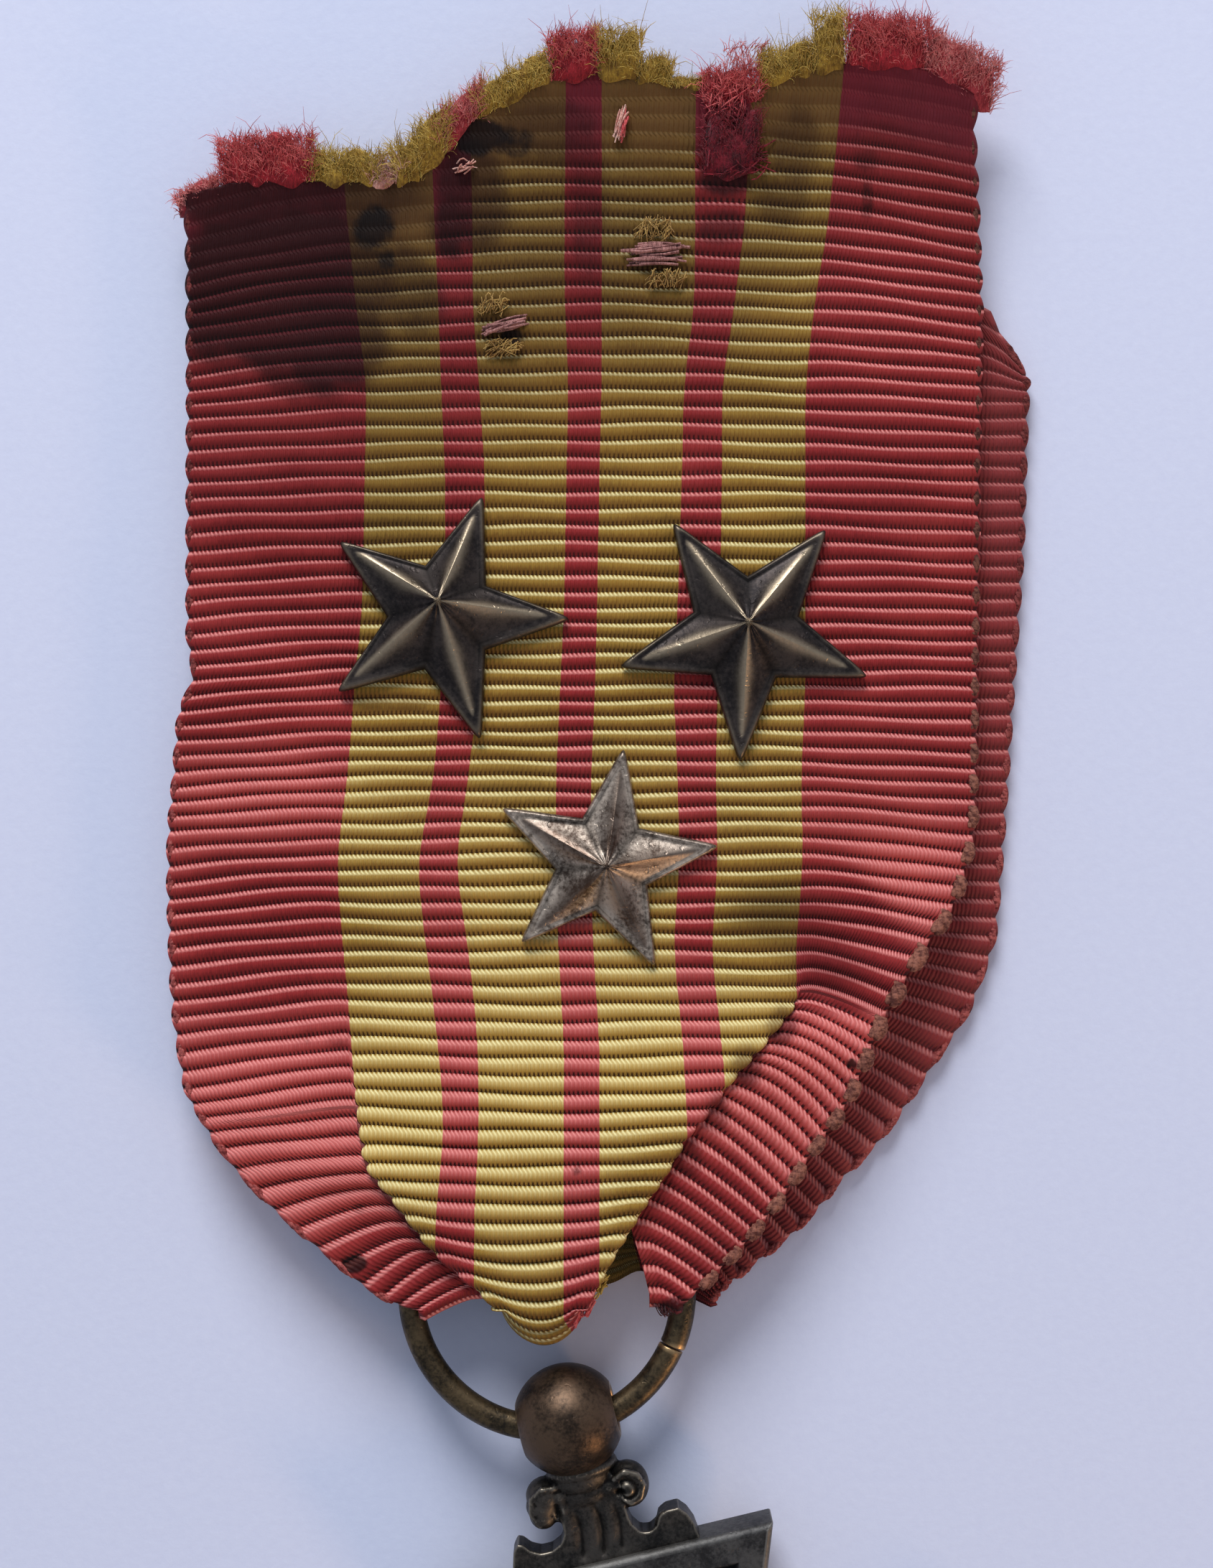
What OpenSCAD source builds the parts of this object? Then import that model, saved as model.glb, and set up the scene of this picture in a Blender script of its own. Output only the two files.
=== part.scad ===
// War cross medal lying face up: a striped ribbon folded through a wire ring,
// three stars pinned on it, and a cross hung from a drilled ball.
// X runs across the ribbon, Y up its length and Z out of the face.

/* [Ribbon] */
// Thickness of the cloth
wall = 1; // [0.8:0.1:1.1]
// Distance from one woven rib to the next
rib_pitch = 0.82; // [0.7:0.02:1.2]
// Depth of the groove between two ribs
rib_depth = 0.18; // [0.05:0.01:0.25]
// How far a rib's end loop stands out of the selvedge
selvedge_loop = 0.15; // [0:0.01:0.3]
// How far the rear layer shows beyond the front layer on the right
rear_offset = 1.8; // [0:0.1:2]

/* [Stars] */
// Ratio of a star's notch radius to its tip radius
star_waist = 0.41; // [0.36:0.01:0.5]
// Height of a star's peak above the ribbon
star_height = 1.9; // [1.2:0.1:2.4]
// Thickness of a star at its rim
star_rim = 0.35; // [0.2:0.05:0.6]
// Depth of the hollow under a star
star_hollow = 0.2; // [0.1:0.05:0.3]
// Radius of the plain post behind each star
post_r = 0.45; // [0.3:0.05:0.5]

/* [Ring] */
// Radius of the ring to the middle of its wire
ring_r = 6.37; // [6.35:0.01:6.4]
// Radius of the ring's wire
wire_r = 0.6; // [0.5:0.05:0.65]
// Width of the butt seam where the wire's ends meet
seam_gap = 0.08; // [0.04:0.02:0.2]

/* [Pendant] */
// Radius of the ball
ball_r = 2.58; // [2.5:0.02:2.64]
// Half the distance between the ball's two flat sides
ball_flat = 2.36; // [2.2:0.02:2.4]
// Radius of the hole drilled through the ball
bore_r = 1.1; // [1.05:0.05:1.2]
// Turn of the pendant about the ball, as it lies
pendant_turn = 13.5; // [12:0.5:15]
// Distance from the ball's centre to the end of the upper arm
arm_start = 6.6; // [6.4:0.1:6.8]
// Width of the cross from arm end to arm end
cross_w = 40; // [38:1:41]
// Half the width of an arm at its end
arm_half = 8.2; // [7.5:0.1:9]
// Lean of an arm's sides towards the centre
arm_lean = 20; // [16:1:22]
// Thickness of the cross over its raised rims
cross_t = 2.4; // [2:0.1:2.8]
// Width of the raised rim round each arm
rim_w = 1.4; // [1:0.1:1.8]
// Depth of the field inside the rim
field_depth = 0.4; // [0.2:0.1:0.5]
// Radius of the plain roundel at the centre
roundel_r = 6; // [5:0.5:7]

/* [Hidden] */
$fn = 48;

// The front layer, a row for each section down its length.
// columns: height of the middle, left edge x y, left crease x, right crease x, right edge x y,
// step at the left crease, step at the right crease, underside at the middle and at the sides,
// lift of the right edge
front_sections = [
  [57.0, -22.0, 57.0, -14.6,  7.6, 15.6, 57.0, 0.0, 0.0, 2.40, 2.70, 0.0],
  [52.0, -22.0, 52.0, -14.6,  7.4, 15.3, 52.0, 0.0, 0.0, 1.60, 2.00, 0.0],
  [47.0, -22.0, 47.0, -14.4,  7.0, 15.1, 47.0, 0.0, 0.0, 1.15, 1.40, 0.0],
  [43.0, -22.0, 43.0, -14.4,  7.0, 15.1, 43.0, 0.0, 0.0, 1.15, 1.15, 0.0],
  [36.0, -22.0, 36.0, -14.2,  6.8, 15.0, 36.0, 0.0, 0.0, 1.15, 1.15, 0.0],
  [27.6, -22.0, 27.6, -14.1,  6.7, 14.9, 27.6, 0.0, 0.0, 1.15, 1.15, 0.1],
  [25.7, -21.6, 25.7, -14.3,  6.6, 14.8, 25.7, 0.0, 0.0, 1.15, 1.15, 0.1],
  [24.2, -22.4, 24.2, -14.6,  6.6, 14.8, 24.2, 0.0, 0.0, 1.15, 1.15, 0.2],
  [18.4, -22.9, 18.4, -15.2,  6.6, 14.5, 18.2, 0.0, 0.0, 1.15, 1.15, 0.5],
  [15.4, -22.9, 15.4, -15.2,  6.6, 13.9, 14.9, 0.0, 0.0, 1.15, 1.20, 1.0],
  [12.5, -22.8, 12.5, -15.0,  6.5, 12.5, 12.0, 0.0, 0.0, 1.15, 1.30, 1.3],
  [ 9.7, -22.6,  9.4, -14.6,  6.4, 10.9,  8.9, 0.0, 0.1, 1.45, 1.55, 0.9],
  [ 5.5, -21.9,  4.6, -14.2,  3.2,  7.9,  2.6, 0.0, 0.6, 2.25, 2.15, 0.4],
  [ 2.6, -18.8,  0.9, -13.4,  1.0,  5.6, -0.3, 0.3, 0.8, 2.65, 2.70, 0.2],
  [-1.1, -14.4, -2.8, -10.4, -1.6,  2.4, -3.5, 0.6, 0.8, 2.75, 3.00, 0.0],
  [-3.0, -11.9, -4.4,  -9.0, -2.6,  1.2, -4.8, 0.6, 0.7, 2.85, 3.00, 0.0],
  [-3.9, -10.2, -4.9,  -8.0, -3.3,  0.0, -4.9, 0.6, 0.6, 2.85, 3.00, 0.0],
];
// The rear layer. columns: height, left edge, right edge beyond the front layer's
rear_sections = [
  [43.0, -20.6, 13.2],
  [41.3, -20.6, 15.1],
  [40.6, -20.6, 15.4],
  [31.3, -20.6, 15.1],
  [17.2, -20.9, 14.5],
  [12.8, -21.0, 14.0],
  [10.2, -21.0, 13.2],
  [ 3.9, -20.4,  9.9],
  [-0.1, -18.4,  6.0],
  [-1.7, -16.4,  4.0],
  [-3.9, -12.6,  0.5],
];
// Soft dents and buckles of the front layer. columns: x, y, reach in x, reach in y, height
dents = [
  [-20.5, 25.4, 3.0, 2.6,  0.45],
  [ -9.0, 20.5, 4.5, 2.4, -0.15],
  [-17.5, 16.5, 4.5, 4.5,  0.25],
  [  9.8, 10.6, 2.6, 1.3, -0.55],
  [  4.5,  8.5, 3.0, 2.2,  0.35],
  [ -8.0,  5.5, 4.0, 3.5,  0.25],
  [-17.5,  6.0, 3.5, 2.2,  0.30],
];
// Locks of the frayed top edge. columns: x and height of the tip, depth of the nick after it
locks = [
  [-22.2, 48.6, 0.6], [-20.4, 50.4, 0.8], [-19.0, 51.2, 0.7], [-17.2, 51.1, 1.1], [-15.2, 50.0, 0.5],
  [-13.0, 49.7, 0.5], [-11.4, 51.0, 0.7], [-10.2, 52.3, 0.6], [ -9.2, 53.0, 0.8], [ -7.4, 53.8, 0.6],
  [ -5.8, 54.7, 0.8], [ -4.2, 55.8, 0.8], [ -2.2, 55.8, 0.6], [ -0.6, 55.0, 0.5], [  1.2, 53.5, 0.5],
  [  3.0, 54.8, 1.0], [  4.4, 55.2, 0.9], [  6.2, 55.0, 0.6], [  8.0, 56.4, 0.7], [  9.4, 56.7, 0.8],
  [ 11.0, 56.5, 0.7], [ 12.6, 56.1, 0.8], [ 14.0, 55.0, 0.7], [ 15.4, 53.4, 0.6],
];
// The edge's corners beyond the ribbon on the left and right, and a height above it all
locks_left = [-24, 48];
locks_right = [17, 52.6];
locks_above = 60;
// The three stars. columns: x, y, tip radius, direction of the first tip
star_rows = [
  [-10.3, 27.9, 5.75, -0.8],
  [  3.9, 27.3, 5.85, 52.0],
  [ -2.8, 16.6, 5.20,  7.8],
];

clear = 0.1;
crease_half = 0.35;
front_top = 57;
front_end = -3.9;
rear_top = 43;
rear_end = -3.9;
ribbon_face = front_sections[4][9] + wall;
post_bore = post_r + clear;
ring_at = [-5.38, -3.45];
ball_at = [-4.39, -9.41];
ring_under = 1.85;
seam_dir = -21.6;
arm_len = cross_w / 2;
cross_at = -(arm_start + arm_len);
ring_reach = ring_at[1] - ball_at[1];
ring_tilt = asin((ball_r - ring_under) / (ring_r + ring_reach));
ring_z = ball_r - ring_reach * sin(ring_tilt);
pendant_tilt = atan((ball_r - cross_t / 2) / (arm_start + cross_w));
fold_x = -5.6;
fold_half = 2.2;
fold_mid = (front_sections[16][9] + wall + front_sections[16][7]) / 2;
fold_y = -6.05 + fold_mid;
fold_rows = 9;
fold_squareness = 0.85;
dent_limit = 0.3 * wall;
post_low = wall + clear;

function column(rows, c) = [for (row = rows) [row[0], row[c]]];
front_columns = [for (c = [0:11]) column(front_sections, c)];
rear_columns = [for (c = [0:2]) column(rear_sections, c)];
function front(c, y) = lookup(y, front_columns[c]);
function rear(c, y) = lookup(y, rear_columns[c]);
function mid(a, b) = (a + b) / 2;
function bump(x, y, i = 0) = i == len(dents) ? 0
  : dents[i][4] * exp(-pow((x - dents[i][0]) / dents[i][2], 2) - pow((y - dents[i][1]) / dents[i][3], 2))
    + bump(x, y, i + 1);

// A ring of the cloth runs over its outer face and comes back on its inner face.
// The triangles between two rings; to[] gives the point of the second ring that each point joins
function band(a, n, b, to) = [for (i = [0:n - 1]) let(k = (i + 1) % n)
  each to[i] == to[k] ? [[a + i, b + to[i], a + k]]
    : [[a + i, b + to[i], a + k], [b + to[i], b + to[k], a + k]]];
function bands(start, rings, n) = [for (i = [0:rings - 2])
  each band(start + i * n, n, start + (i + 1) * n, [for (j = [0:n - 1]) j])];
// The triangles that close the first ring, of outer and n points
function cap(outer, n) = let(inner = [for (j = [0:outer - 1]) n - 1 - round(j * (n - outer - 1) / (outer - 1))])
  [for (j = [0:outer - 2]) each inner[j] == inner[j + 1] ? [[j, j + 1, inner[j]]]
    : [[j, j + 1, inner[j + 1]], [j, inner[j + 1], inner[j]]]];

// One ring of the front layer at height y: ten points over its face and four under it
function front_ring(y, groove, loop) = let(
    xl = front(1, y) - loop, yl = front(2, y), cl = front(3, y), cr = front(4, y),
    xr = front(5, y) + loop, yr = front(6, y), sl = front(7, y), sr = front(8, y),
    zm = front(9, y), zs = front(10, y), lift = front(11, y),
    across = [xl, mid(xl, cl), cl - crease_half, cl + crease_half, cl + (cr - cl) / 3,
      cl + (cr - cl) * 2 / 3, cr - crease_half, cr + crease_half, mid(cr, xr), xr],
    along = [yl, mid(yl, y), y, y, y, y, y, y, mid(y, yr), yr],
    height = [zs, mid(zs, zm), zm, zm + sl, zm + sl, zm + sr, zm + sr, zm, mid(zm, zs) + lift / 3, zs + lift])
  concat(
    [for (k = [0:9]) [across[k], along[k],
      height[k] + wall - groove + max(bump(across[k], along[k]), -dent_limit)]],
    [[xr, yr, zs + lift], [cr, y, zm], [cl, y, zm], [xl, yl, zs]]);

// One ring of the round tip, where the striped middle turns under inside the ring
function fold_ring(turn, groove) = let(
    outer_r = fold_mid - groove, inner_r = (front_sections[16][9] - wall) / 2,
    bulge = function(f) sqrt(1 - fold_squareness * pow(2 * f - 1, 2)),
    at = function(f, r, z) [fold_x + (2 * f - 1) * fold_half,
      fold_y - r * bulge(f) * sin(turn), z + r * cos(turn)])
  concat([for (j = [0:9]) at(j / 9, outer_r, fold_mid)],
    [for (j = [3:-1:0]) at(j / 3, inner_r, wall + inner_r)]);

// One ring of the rear layer: two points under it and three over it
function rear_ring(y, groove, loop) = let(xl = rear(1, y) - loop, xr = rear(2, y) + rear_offset + loop)
  [[xl, y, 0], [xr, y, 0], [xr, y, wall - groove], [mid(xl, xr), y, wall - groove], [xl, y, wall - groove]];

// The whole strip of cloth, from the frayed edge down the face, round the tip and up the back
module cloth() {
  front_rows = 2 * round((front_top - front_end) / rib_pitch);
  rear_rows = 2 * round((rear_top - rear_end) / rib_pitch);
  turns = [for (k = [1:fold_rows]) 180 * k / (fold_rows + 1)];
  front_points = [for (i = [0:front_rows]) each front_ring(
    front_top - i * (front_top - front_end) / front_rows,
    i % 2 == 0 ? rib_depth : 0, i % 2 == 0 ? 0 : selvedge_loop)];
  fold_points = [for (k = [0:fold_rows - 1]) each fold_ring(turns[k], k % 2 == 0 ? 0 : rib_depth)];
  rear_points = [for (i = [0:rear_rows]) each rear_ring(
    rear_end + i * (rear_top - rear_end) / rear_rows,
    i % 2 == 0 ? rib_depth : 0, i % 2 == 0 ? 0 : selvedge_loop)];
  wide_rings = front_rows + 1 + fold_rows;
  rear_start = wide_rings * 14;
  last = rear_start + rear_rows * 5;
  polyhedron(concat(front_points, fold_points, rear_points), concat(
    cap(10, 14),
    bands(0, wide_rings, 14),
    band(rear_start - 14, 14, rear_start, [0, 0, 0, 0, 0, 1, 1, 1, 1, 1, 2, 3, 3, 4]),
    bands(rear_start, rear_rows + 1, 5),
    [for (j = [1:3]) [last + j + 1, last + j, last]]), convexity = 6);
}

// What is cut away above the frayed edge, so that the cloth ends in locks
module fringe_cut() {
  edge = [for (i = [0:len(locks) - 1]) each i == len(locks) - 1 ? [[locks[i][0], locks[i][1]]] : [
    [locks[i][0], locks[i][1]],
    [mid(locks[i][0], locks[i + 1][0]), min(locks[i][1], locks[i + 1][1]) - locks[i][2]]]];
  translate([0, 0, -1]) linear_extrude(6) polygon(concat([locks_left], edge,
    [locks_right, [locks_right[0], locks_above], [locks_left[0], locks_above]]));
}

module ribbon() {
  color([0.62, 0.28, 0.27]) difference() {
    cloth();
    fringe_cut();
    for (row = star_rows) translate([row[0], row[1], post_low - clear]) cylinder(r = post_bore, h = 4);
  }
}

// A ridged five-pointed star, slightly hollow under its rim, with a plain post behind it
module star(row) {
  notches = [for (k = [0:9]) let(r = k % 2 == 0 ? row[2] : row[2] * star_waist, a = row[3] + 36 * k)
    [r * cos(a), r * sin(a)]];
  base = [for (p = notches) [p[0], p[1], 0]];
  rim = [for (p = notches) [p[0], p[1], star_rim]];
  color([0.30, 0.25, 0.19]) translate([row[0], row[1], ribbon_face + clear]) union() {
    polyhedron(concat(base, rim, [[0, 0, star_height], [0, 0, star_hollow]]), concat(
      [for (k = [0:9]) [k, (k + 1) % 10, 21]],
      [for (k = [0:9]) [k, k + 10, (k + 1) % 10 + 10, (k + 1) % 10]],
      [for (k = [0:9]) [k + 10, 20, (k + 1) % 10 + 10]]), convexity = 4);
    translate([0, 0, post_low - ribbon_face - clear]) cylinder(r = post_r, h = ribbon_face - post_low + star_rim);
  }
}

module star_left() star(star_rows[0]);
module star_right() star(star_rows[1]);
module star_lower() star(star_rows[2]);

module suspension_ring() {
  gap_turn = seam_gap / ring_r * 180 / PI;
  color([0.36, 0.30, 0.22]) translate([ring_at[0], ring_at[1], ring_z]) rotate([-ring_tilt, 0, 0])
    rotate([0, 0, seam_dir + gap_turn / 2]) rotate_extrude(angle = 360 - gap_turn)
      translate([ring_r, 0]) circle(r = wire_r);
}

// The pendant's own frame has its origin at the ball's centre, +Y towards the ring
module cross_pendant() {
  color([0.27, 0.25, 0.22]) translate([ball_at[0], ball_at[1], ball_r]) rotate([0, 0, pendant_turn])
    rotate([pendant_tilt, 0, 0]) union() {
      drilled_ball();
      scrolls();
      translate([0, cross_at, 0]) cross();
    }
}

module drilled_ball() {
  difference() {
    intersection() {
      sphere(r = ball_r);
      cube([2 * ball_flat, 3 * ball_r, 3 * ball_r], center = true);
    }
    rotate([0, 90, 0]) cylinder(r = bore_r, h = 3 * ball_r, center = true);
  }
}

// Neck, a pair of scroll knobs, a waisted stem and a pair of leaf horns on the upper arm
module scrolls() {
  thick = 1.9;
  knob = [1.98, -3.58, 1.05];
  nook = [2.28, -5.28, 0.65];
  neck_r = 1.35;
  translate([0, knob[1], 0]) rotate([-90, 0, 0]) cylinder(r = neck_r, h = -knob[1] - 1.6);
  for (side = [-1, 1]) translate([side * knob[0], knob[1], 0]) sphere(r = knob[2]);
  translate([0, 0, -thick / 2]) linear_extrude(thick) difference() {
    polygon([[-1.9, -3.0], [1.9, -3.0], [2.1, -4.4], [2.4, -5.2], [3.5, -5.15], [4.1, -5.45], [4.7, -6.0],
      [4.9, -7.0], [-4.9, -7.0], [-4.7, -6.0], [-4.1, -5.45], [-3.5, -5.15], [-2.4, -5.2], [-2.1, -4.4]]);
    for (side = [-1, 1]) translate([side * nook[0], nook[1]]) circle(r = nook[2]);
    for (side = [-1, 1]) translate([side * nook[0] - 0.3, nook[1]]) square([0.6, 1]);
  }
}

// A plain cross with four widening arms, a raised rim round each and a bare roundel
module cross() {
  tight = arm_len - roundel_r;
  roundel_rise = 0.3;
  roundel_rim = 0.9;
  field_start = 0.6;
  root = arm_half - arm_len * tan(arm_lean);
  inner = rim_w / cos(arm_lean);
  field_low = roundel_r + field_start;
  field_high = arm_len - rim_w;
  low_half = root + field_low * tan(arm_lean) - inner;
  high_half = root + field_high * tan(arm_lean) - inner;
  arm_root = arm_half - tight * tan(arm_lean);
  difference() {
    union() {
      for (k = [0:3]) rotate([0, 0, 90 * k]) translate([0, 0, -cross_t / 2]) linear_extrude(cross_t)
        polygon([[-root, 0], [root, 0], [arm_root, roundel_r], [arm_half, arm_len],
          [-arm_half, arm_len], [-arm_root, roundel_r]]);
      cylinder(r = roundel_r, h = cross_t + 2 * roundel_rise, center = true);
    }
    for (k = [0:3], face = [0, 1]) rotate([0, 0, 90 * k]) mirror([0, 0, face])
      translate([0, 0, cross_t / 2 - field_depth]) linear_extrude(field_depth + 1)
        polygon([[-low_half, field_low], [low_half, field_low], [high_half, field_high], [-high_half, field_high]]);
    for (face = [0, 1]) mirror([0, 0, face]) translate([0, 0, cross_t / 2 + roundel_rise - field_depth])
      cylinder(r = roundel_r - roundel_rim, h = 1);
  }
}

ribbon();
star_left();
star_right();
star_lower();
suspension_ring();
cross_pendant();
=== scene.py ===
import bpy
import bmesh
import math
import numpy as np
from mathutils import Matrix, Vector


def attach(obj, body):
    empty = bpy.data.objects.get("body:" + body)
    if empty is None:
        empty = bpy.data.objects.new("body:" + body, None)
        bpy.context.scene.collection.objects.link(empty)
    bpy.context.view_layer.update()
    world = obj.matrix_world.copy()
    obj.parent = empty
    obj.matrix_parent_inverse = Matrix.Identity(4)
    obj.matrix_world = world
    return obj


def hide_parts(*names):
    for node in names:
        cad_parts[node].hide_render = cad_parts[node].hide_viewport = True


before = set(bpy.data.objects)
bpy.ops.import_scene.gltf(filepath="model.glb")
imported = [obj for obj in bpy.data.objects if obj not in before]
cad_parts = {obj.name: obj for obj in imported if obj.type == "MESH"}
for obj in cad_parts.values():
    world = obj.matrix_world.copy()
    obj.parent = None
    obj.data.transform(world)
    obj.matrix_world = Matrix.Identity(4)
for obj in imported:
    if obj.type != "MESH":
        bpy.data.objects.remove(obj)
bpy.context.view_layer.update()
scene = bpy.context.scene

# All sizes and places below are in millimetres, and what is finished is brought to metres
MM = 0.001

# The camera looks straight down from above the ribbon, as in the photo
camera = bpy.data.objects.new("camera", bpy.data.cameras.new("camera"))
camera.location = (-2.6 * MM, 20.2 * MM, 112 * MM)
camera.data.lens = 53.9
camera.data.sensor_width = 36
camera.data.clip_start = 0.005
scene.collection.objects.link(camera)
scene.camera = camera
scene.view_settings.view_transform = "Standard"


# Light: a pale sky, a wide cool window beyond the top left, and a low warm lamp on the right
def soft_light(name, place, aim, size, power, colour):
    lamp = bpy.data.objects.new(name, bpy.data.lights.new(name, "AREA"))
    lamp.location = Vector(place) * MM
    lamp.rotation_euler = (Vector(aim) - Vector(place)).to_track_quat("-Z", "Y").to_euler()
    lamp.data.shape = "DISK"
    lamp.data.size = size * MM
    lamp.data.energy = power
    lamp.data.color = colour
    scene.collection.objects.link(lamp)


world = bpy.data.worlds.new("pale_room")
world.use_nodes = True
world.node_tree.nodes["Background"].inputs["Color"].default_value = (0.74, 0.83, 1.0, 1)
world.node_tree.nodes["Background"].inputs["Strength"].default_value = 0.45
scene.world = world
soft_light("window", (-80, 430, 270), (0, 20, 0), 250, 2.6, (0.93, 0.96, 1.0))
soft_light("warm_lamp", (220, -200, 100), (0, 0, 0), 60, 0.30, (1.0, 0.62, 0.32))


# Shader maths as sums on sockets
class Socket:
    """One output of a node. Sums on it add Math nodes to its material."""

    def __init__(self, paint, out):
        self.paint, self.out = paint, out

    def math(self, operation, *values):
        return self.paint.node("ShaderNodeMath", dict(operation=operation), *values)

    def __add__(self, other):
        return self.math("ADD", self, other)

    __radd__ = __add__

    def __mul__(self, other):
        return self.math("MULTIPLY", self, other)

    __rmul__ = __mul__

    def __sub__(self, other):
        return self.math("SUBTRACT", self, other)

    def __rsub__(self, other):
        return self.math("SUBTRACT", other, self)

    def sine(self):
        return self.math("SINE", self)

    def fraction(self):
        return self.math("FRACT", self)

    def over(self, low, high):
        """0 below low and 1 above high, smooth between; low may be the larger."""
        settings = dict(interpolation_type="SMOOTHSTEP", clamp=True)
        if low <= high:
            return self.paint.node("ShaderNodeMapRange", settings, self, low, high, 0.0, 1.0)
        return self.paint.node("ShaderNodeMapRange", settings, self, high, low, 1.0, 0.0)


class Paint:
    """A material with its Principled shader, and the ways to add nodes to it."""

    def __init__(self, name, **constants):
        self.material = bpy.data.materials.new(name)
        self.material.use_nodes = True
        self.tree = self.material.node_tree
        self.shader = self.tree.nodes["Principled BSDF"]
        for key, value in constants.items():
            self.shader.inputs[key.replace("_", " ")].default_value = value

    def node(self, kind, settings=None, *values, out=0, **named):
        made = self.tree.nodes.new(kind)
        for key, value in (settings or {}).items():
            if key == "stops":
                self.set_stops(made.color_ramp, value)
            elif key == "ramp":
                made.color_ramp.interpolation = value
            else:
                setattr(made, key, value)
        for key, value in [*enumerate(values), *named.items()]:
            self.feed(made.inputs[key], value)
        return Socket(self, made.outputs[out])

    def set_stops(self, ramp, stops):
        while len(ramp.elements) < len(stops):
            ramp.elements.new(1)
        for element, (place, colour) in zip(ramp.elements, stops):
            element.position = place
            element.color = (*colour, 1) if hasattr(colour, "__len__") else (colour,) * 3 + (1,)

    def feed(self, entry, value):
        if isinstance(value, Socket):
            self.tree.links.new(value.out, entry)
        elif entry.type == "RGBA":
            entry.default_value = (*value, 1)
        else:
            entry.default_value = value

    def attribute(self, name):
        return self.node("ShaderNodeAttribute", dict(attribute_name=name), out="Fac")

    def place(self):
        """Object coordinates in millimetres."""
        coordinates = self.node("ShaderNodeTexCoord", out="Object")
        return self.node("ShaderNodeVectorMath", dict(operation="SCALE"), coordinates, Scale=1 / MM)

    def noise(self, where, scale, detail=3.0, roughness=0.55):
        return self.node("ShaderNodeTexNoise", None, Vector=where, Scale=scale, Detail=detail,
                         Roughness=roughness)

    def stretch(self, where, x, y, z):
        return self.node("ShaderNodeVectorMath", dict(operation="MULTIPLY"), where, (x, y, z))

    def pair(self, x, y):
        """A point from two values, for a pattern that follows the cloth."""
        return self.node("ShaderNodeCombineXYZ", None, x, y, 0.0)

    def mix(self, share, low, high, blend="MIX"):
        made = self.tree.nodes.new("ShaderNodeMix")
        made.data_type = "RGBA"
        made.blend_type = blend
        for key, value in zip((0, 6, 7), (share, low, high)):
            self.feed(made.inputs[key], value)
        return Socket(self, made.outputs[2])

    def bump(self, height, strength, distance):
        return self.node("ShaderNodeBump", None, Height=height, Strength=strength, Distance=distance * MM)

    def finish(self, **entries):
        for key, value in entries.items():
            self.feed(self.shader.inputs[key.replace("_", " ")], value)
        return self.material


def tone(red, green, blue):
    """A colour as the eye reads it on paper, from 0 to 255, in the shader's own scale."""
    return tuple(((v / 255 + 0.055) / 1.055) ** 2.4 for v in (red, green, blue))


def join(whole, part):
    """Adds a bmesh to another and frees it."""
    mesh = bpy.data.meshes.new("part")
    part.to_mesh(mesh)
    part.free()
    whole.from_mesh(mesh)


def evaluated_shape(holder):
    """A bmesh of an object with its modifiers, which then goes."""
    shape = bmesh.new()
    evaluated = holder.evaluated_get(bpy.context.evaluated_depsgraph_get())
    shape.from_mesh(evaluated.to_mesh())
    evaluated.to_mesh_clear()
    bpy.data.objects.remove(holder)
    return shape


# Points nearer than this become one
WELD = 0.004


def wave(x, y, seed):
    """A smooth uneven wave over the plane, from -1 to 1."""
    a, b, c = np.random.default_rng(seed).uniform(0, 6.28, 3)
    waves = np.sin(0.9 * x + 0.37 * y + a) + np.sin(0.43 * x - 1.1 * y + b) + np.sin(1.9 * x + 1.3 * y + c)
    return waves / 3


def smooth(value, low=0.0, high=1.0):
    share = np.clip((value - low) / (high - low), 0, 1)
    return share * share * (3 - 2 * share)


def mark_wear(shape):
    """Gives each point its wear: rubbed on sharp outward bends, hollow in inward ones."""
    bend = []
    for vert in shape.verts:
        runs = [edge.other_vert(vert).co - vert.co for edge in vert.link_edges]
        bends = [-2 * vert.normal.dot(run) / max(run.length_squared, 1e-4) for run in runs]
        bend.append(sum(bends) / len(bends))
    shape.verts.index_update()
    rubbed, hollow = (shape.verts.layers.float.new(name) for name in ("rubbed", "hollow"))
    for vert in shape.verts:
        near = [bend[edge.other_vert(vert).index] for edge in vert.link_edges]
        value = 0.5 * bend[vert.index] + 0.5 * sum(near) / len(near)
        vert[rubbed], vert[hollow] = float(smooth(value, 1.2, 4.0)), float(smooth(-value, 0.3, 2.5))


def piece(name, shape, material, wear=False):
    """Makes a finished object from a bmesh in millimetres."""
    mesh = bpy.data.meshes.new(name)
    if wear:
        mark_wear(shape)
    shape.transform(Matrix.Scale(MM, 4))
    shape.to_mesh(mesh)
    shape.free()
    made = bpy.data.objects.new(name, mesh)
    scene.collection.objects.link(made)
    mesh.shade_smooth()
    mesh.materials.append(material)
    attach(made, "root")
    return made


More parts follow.
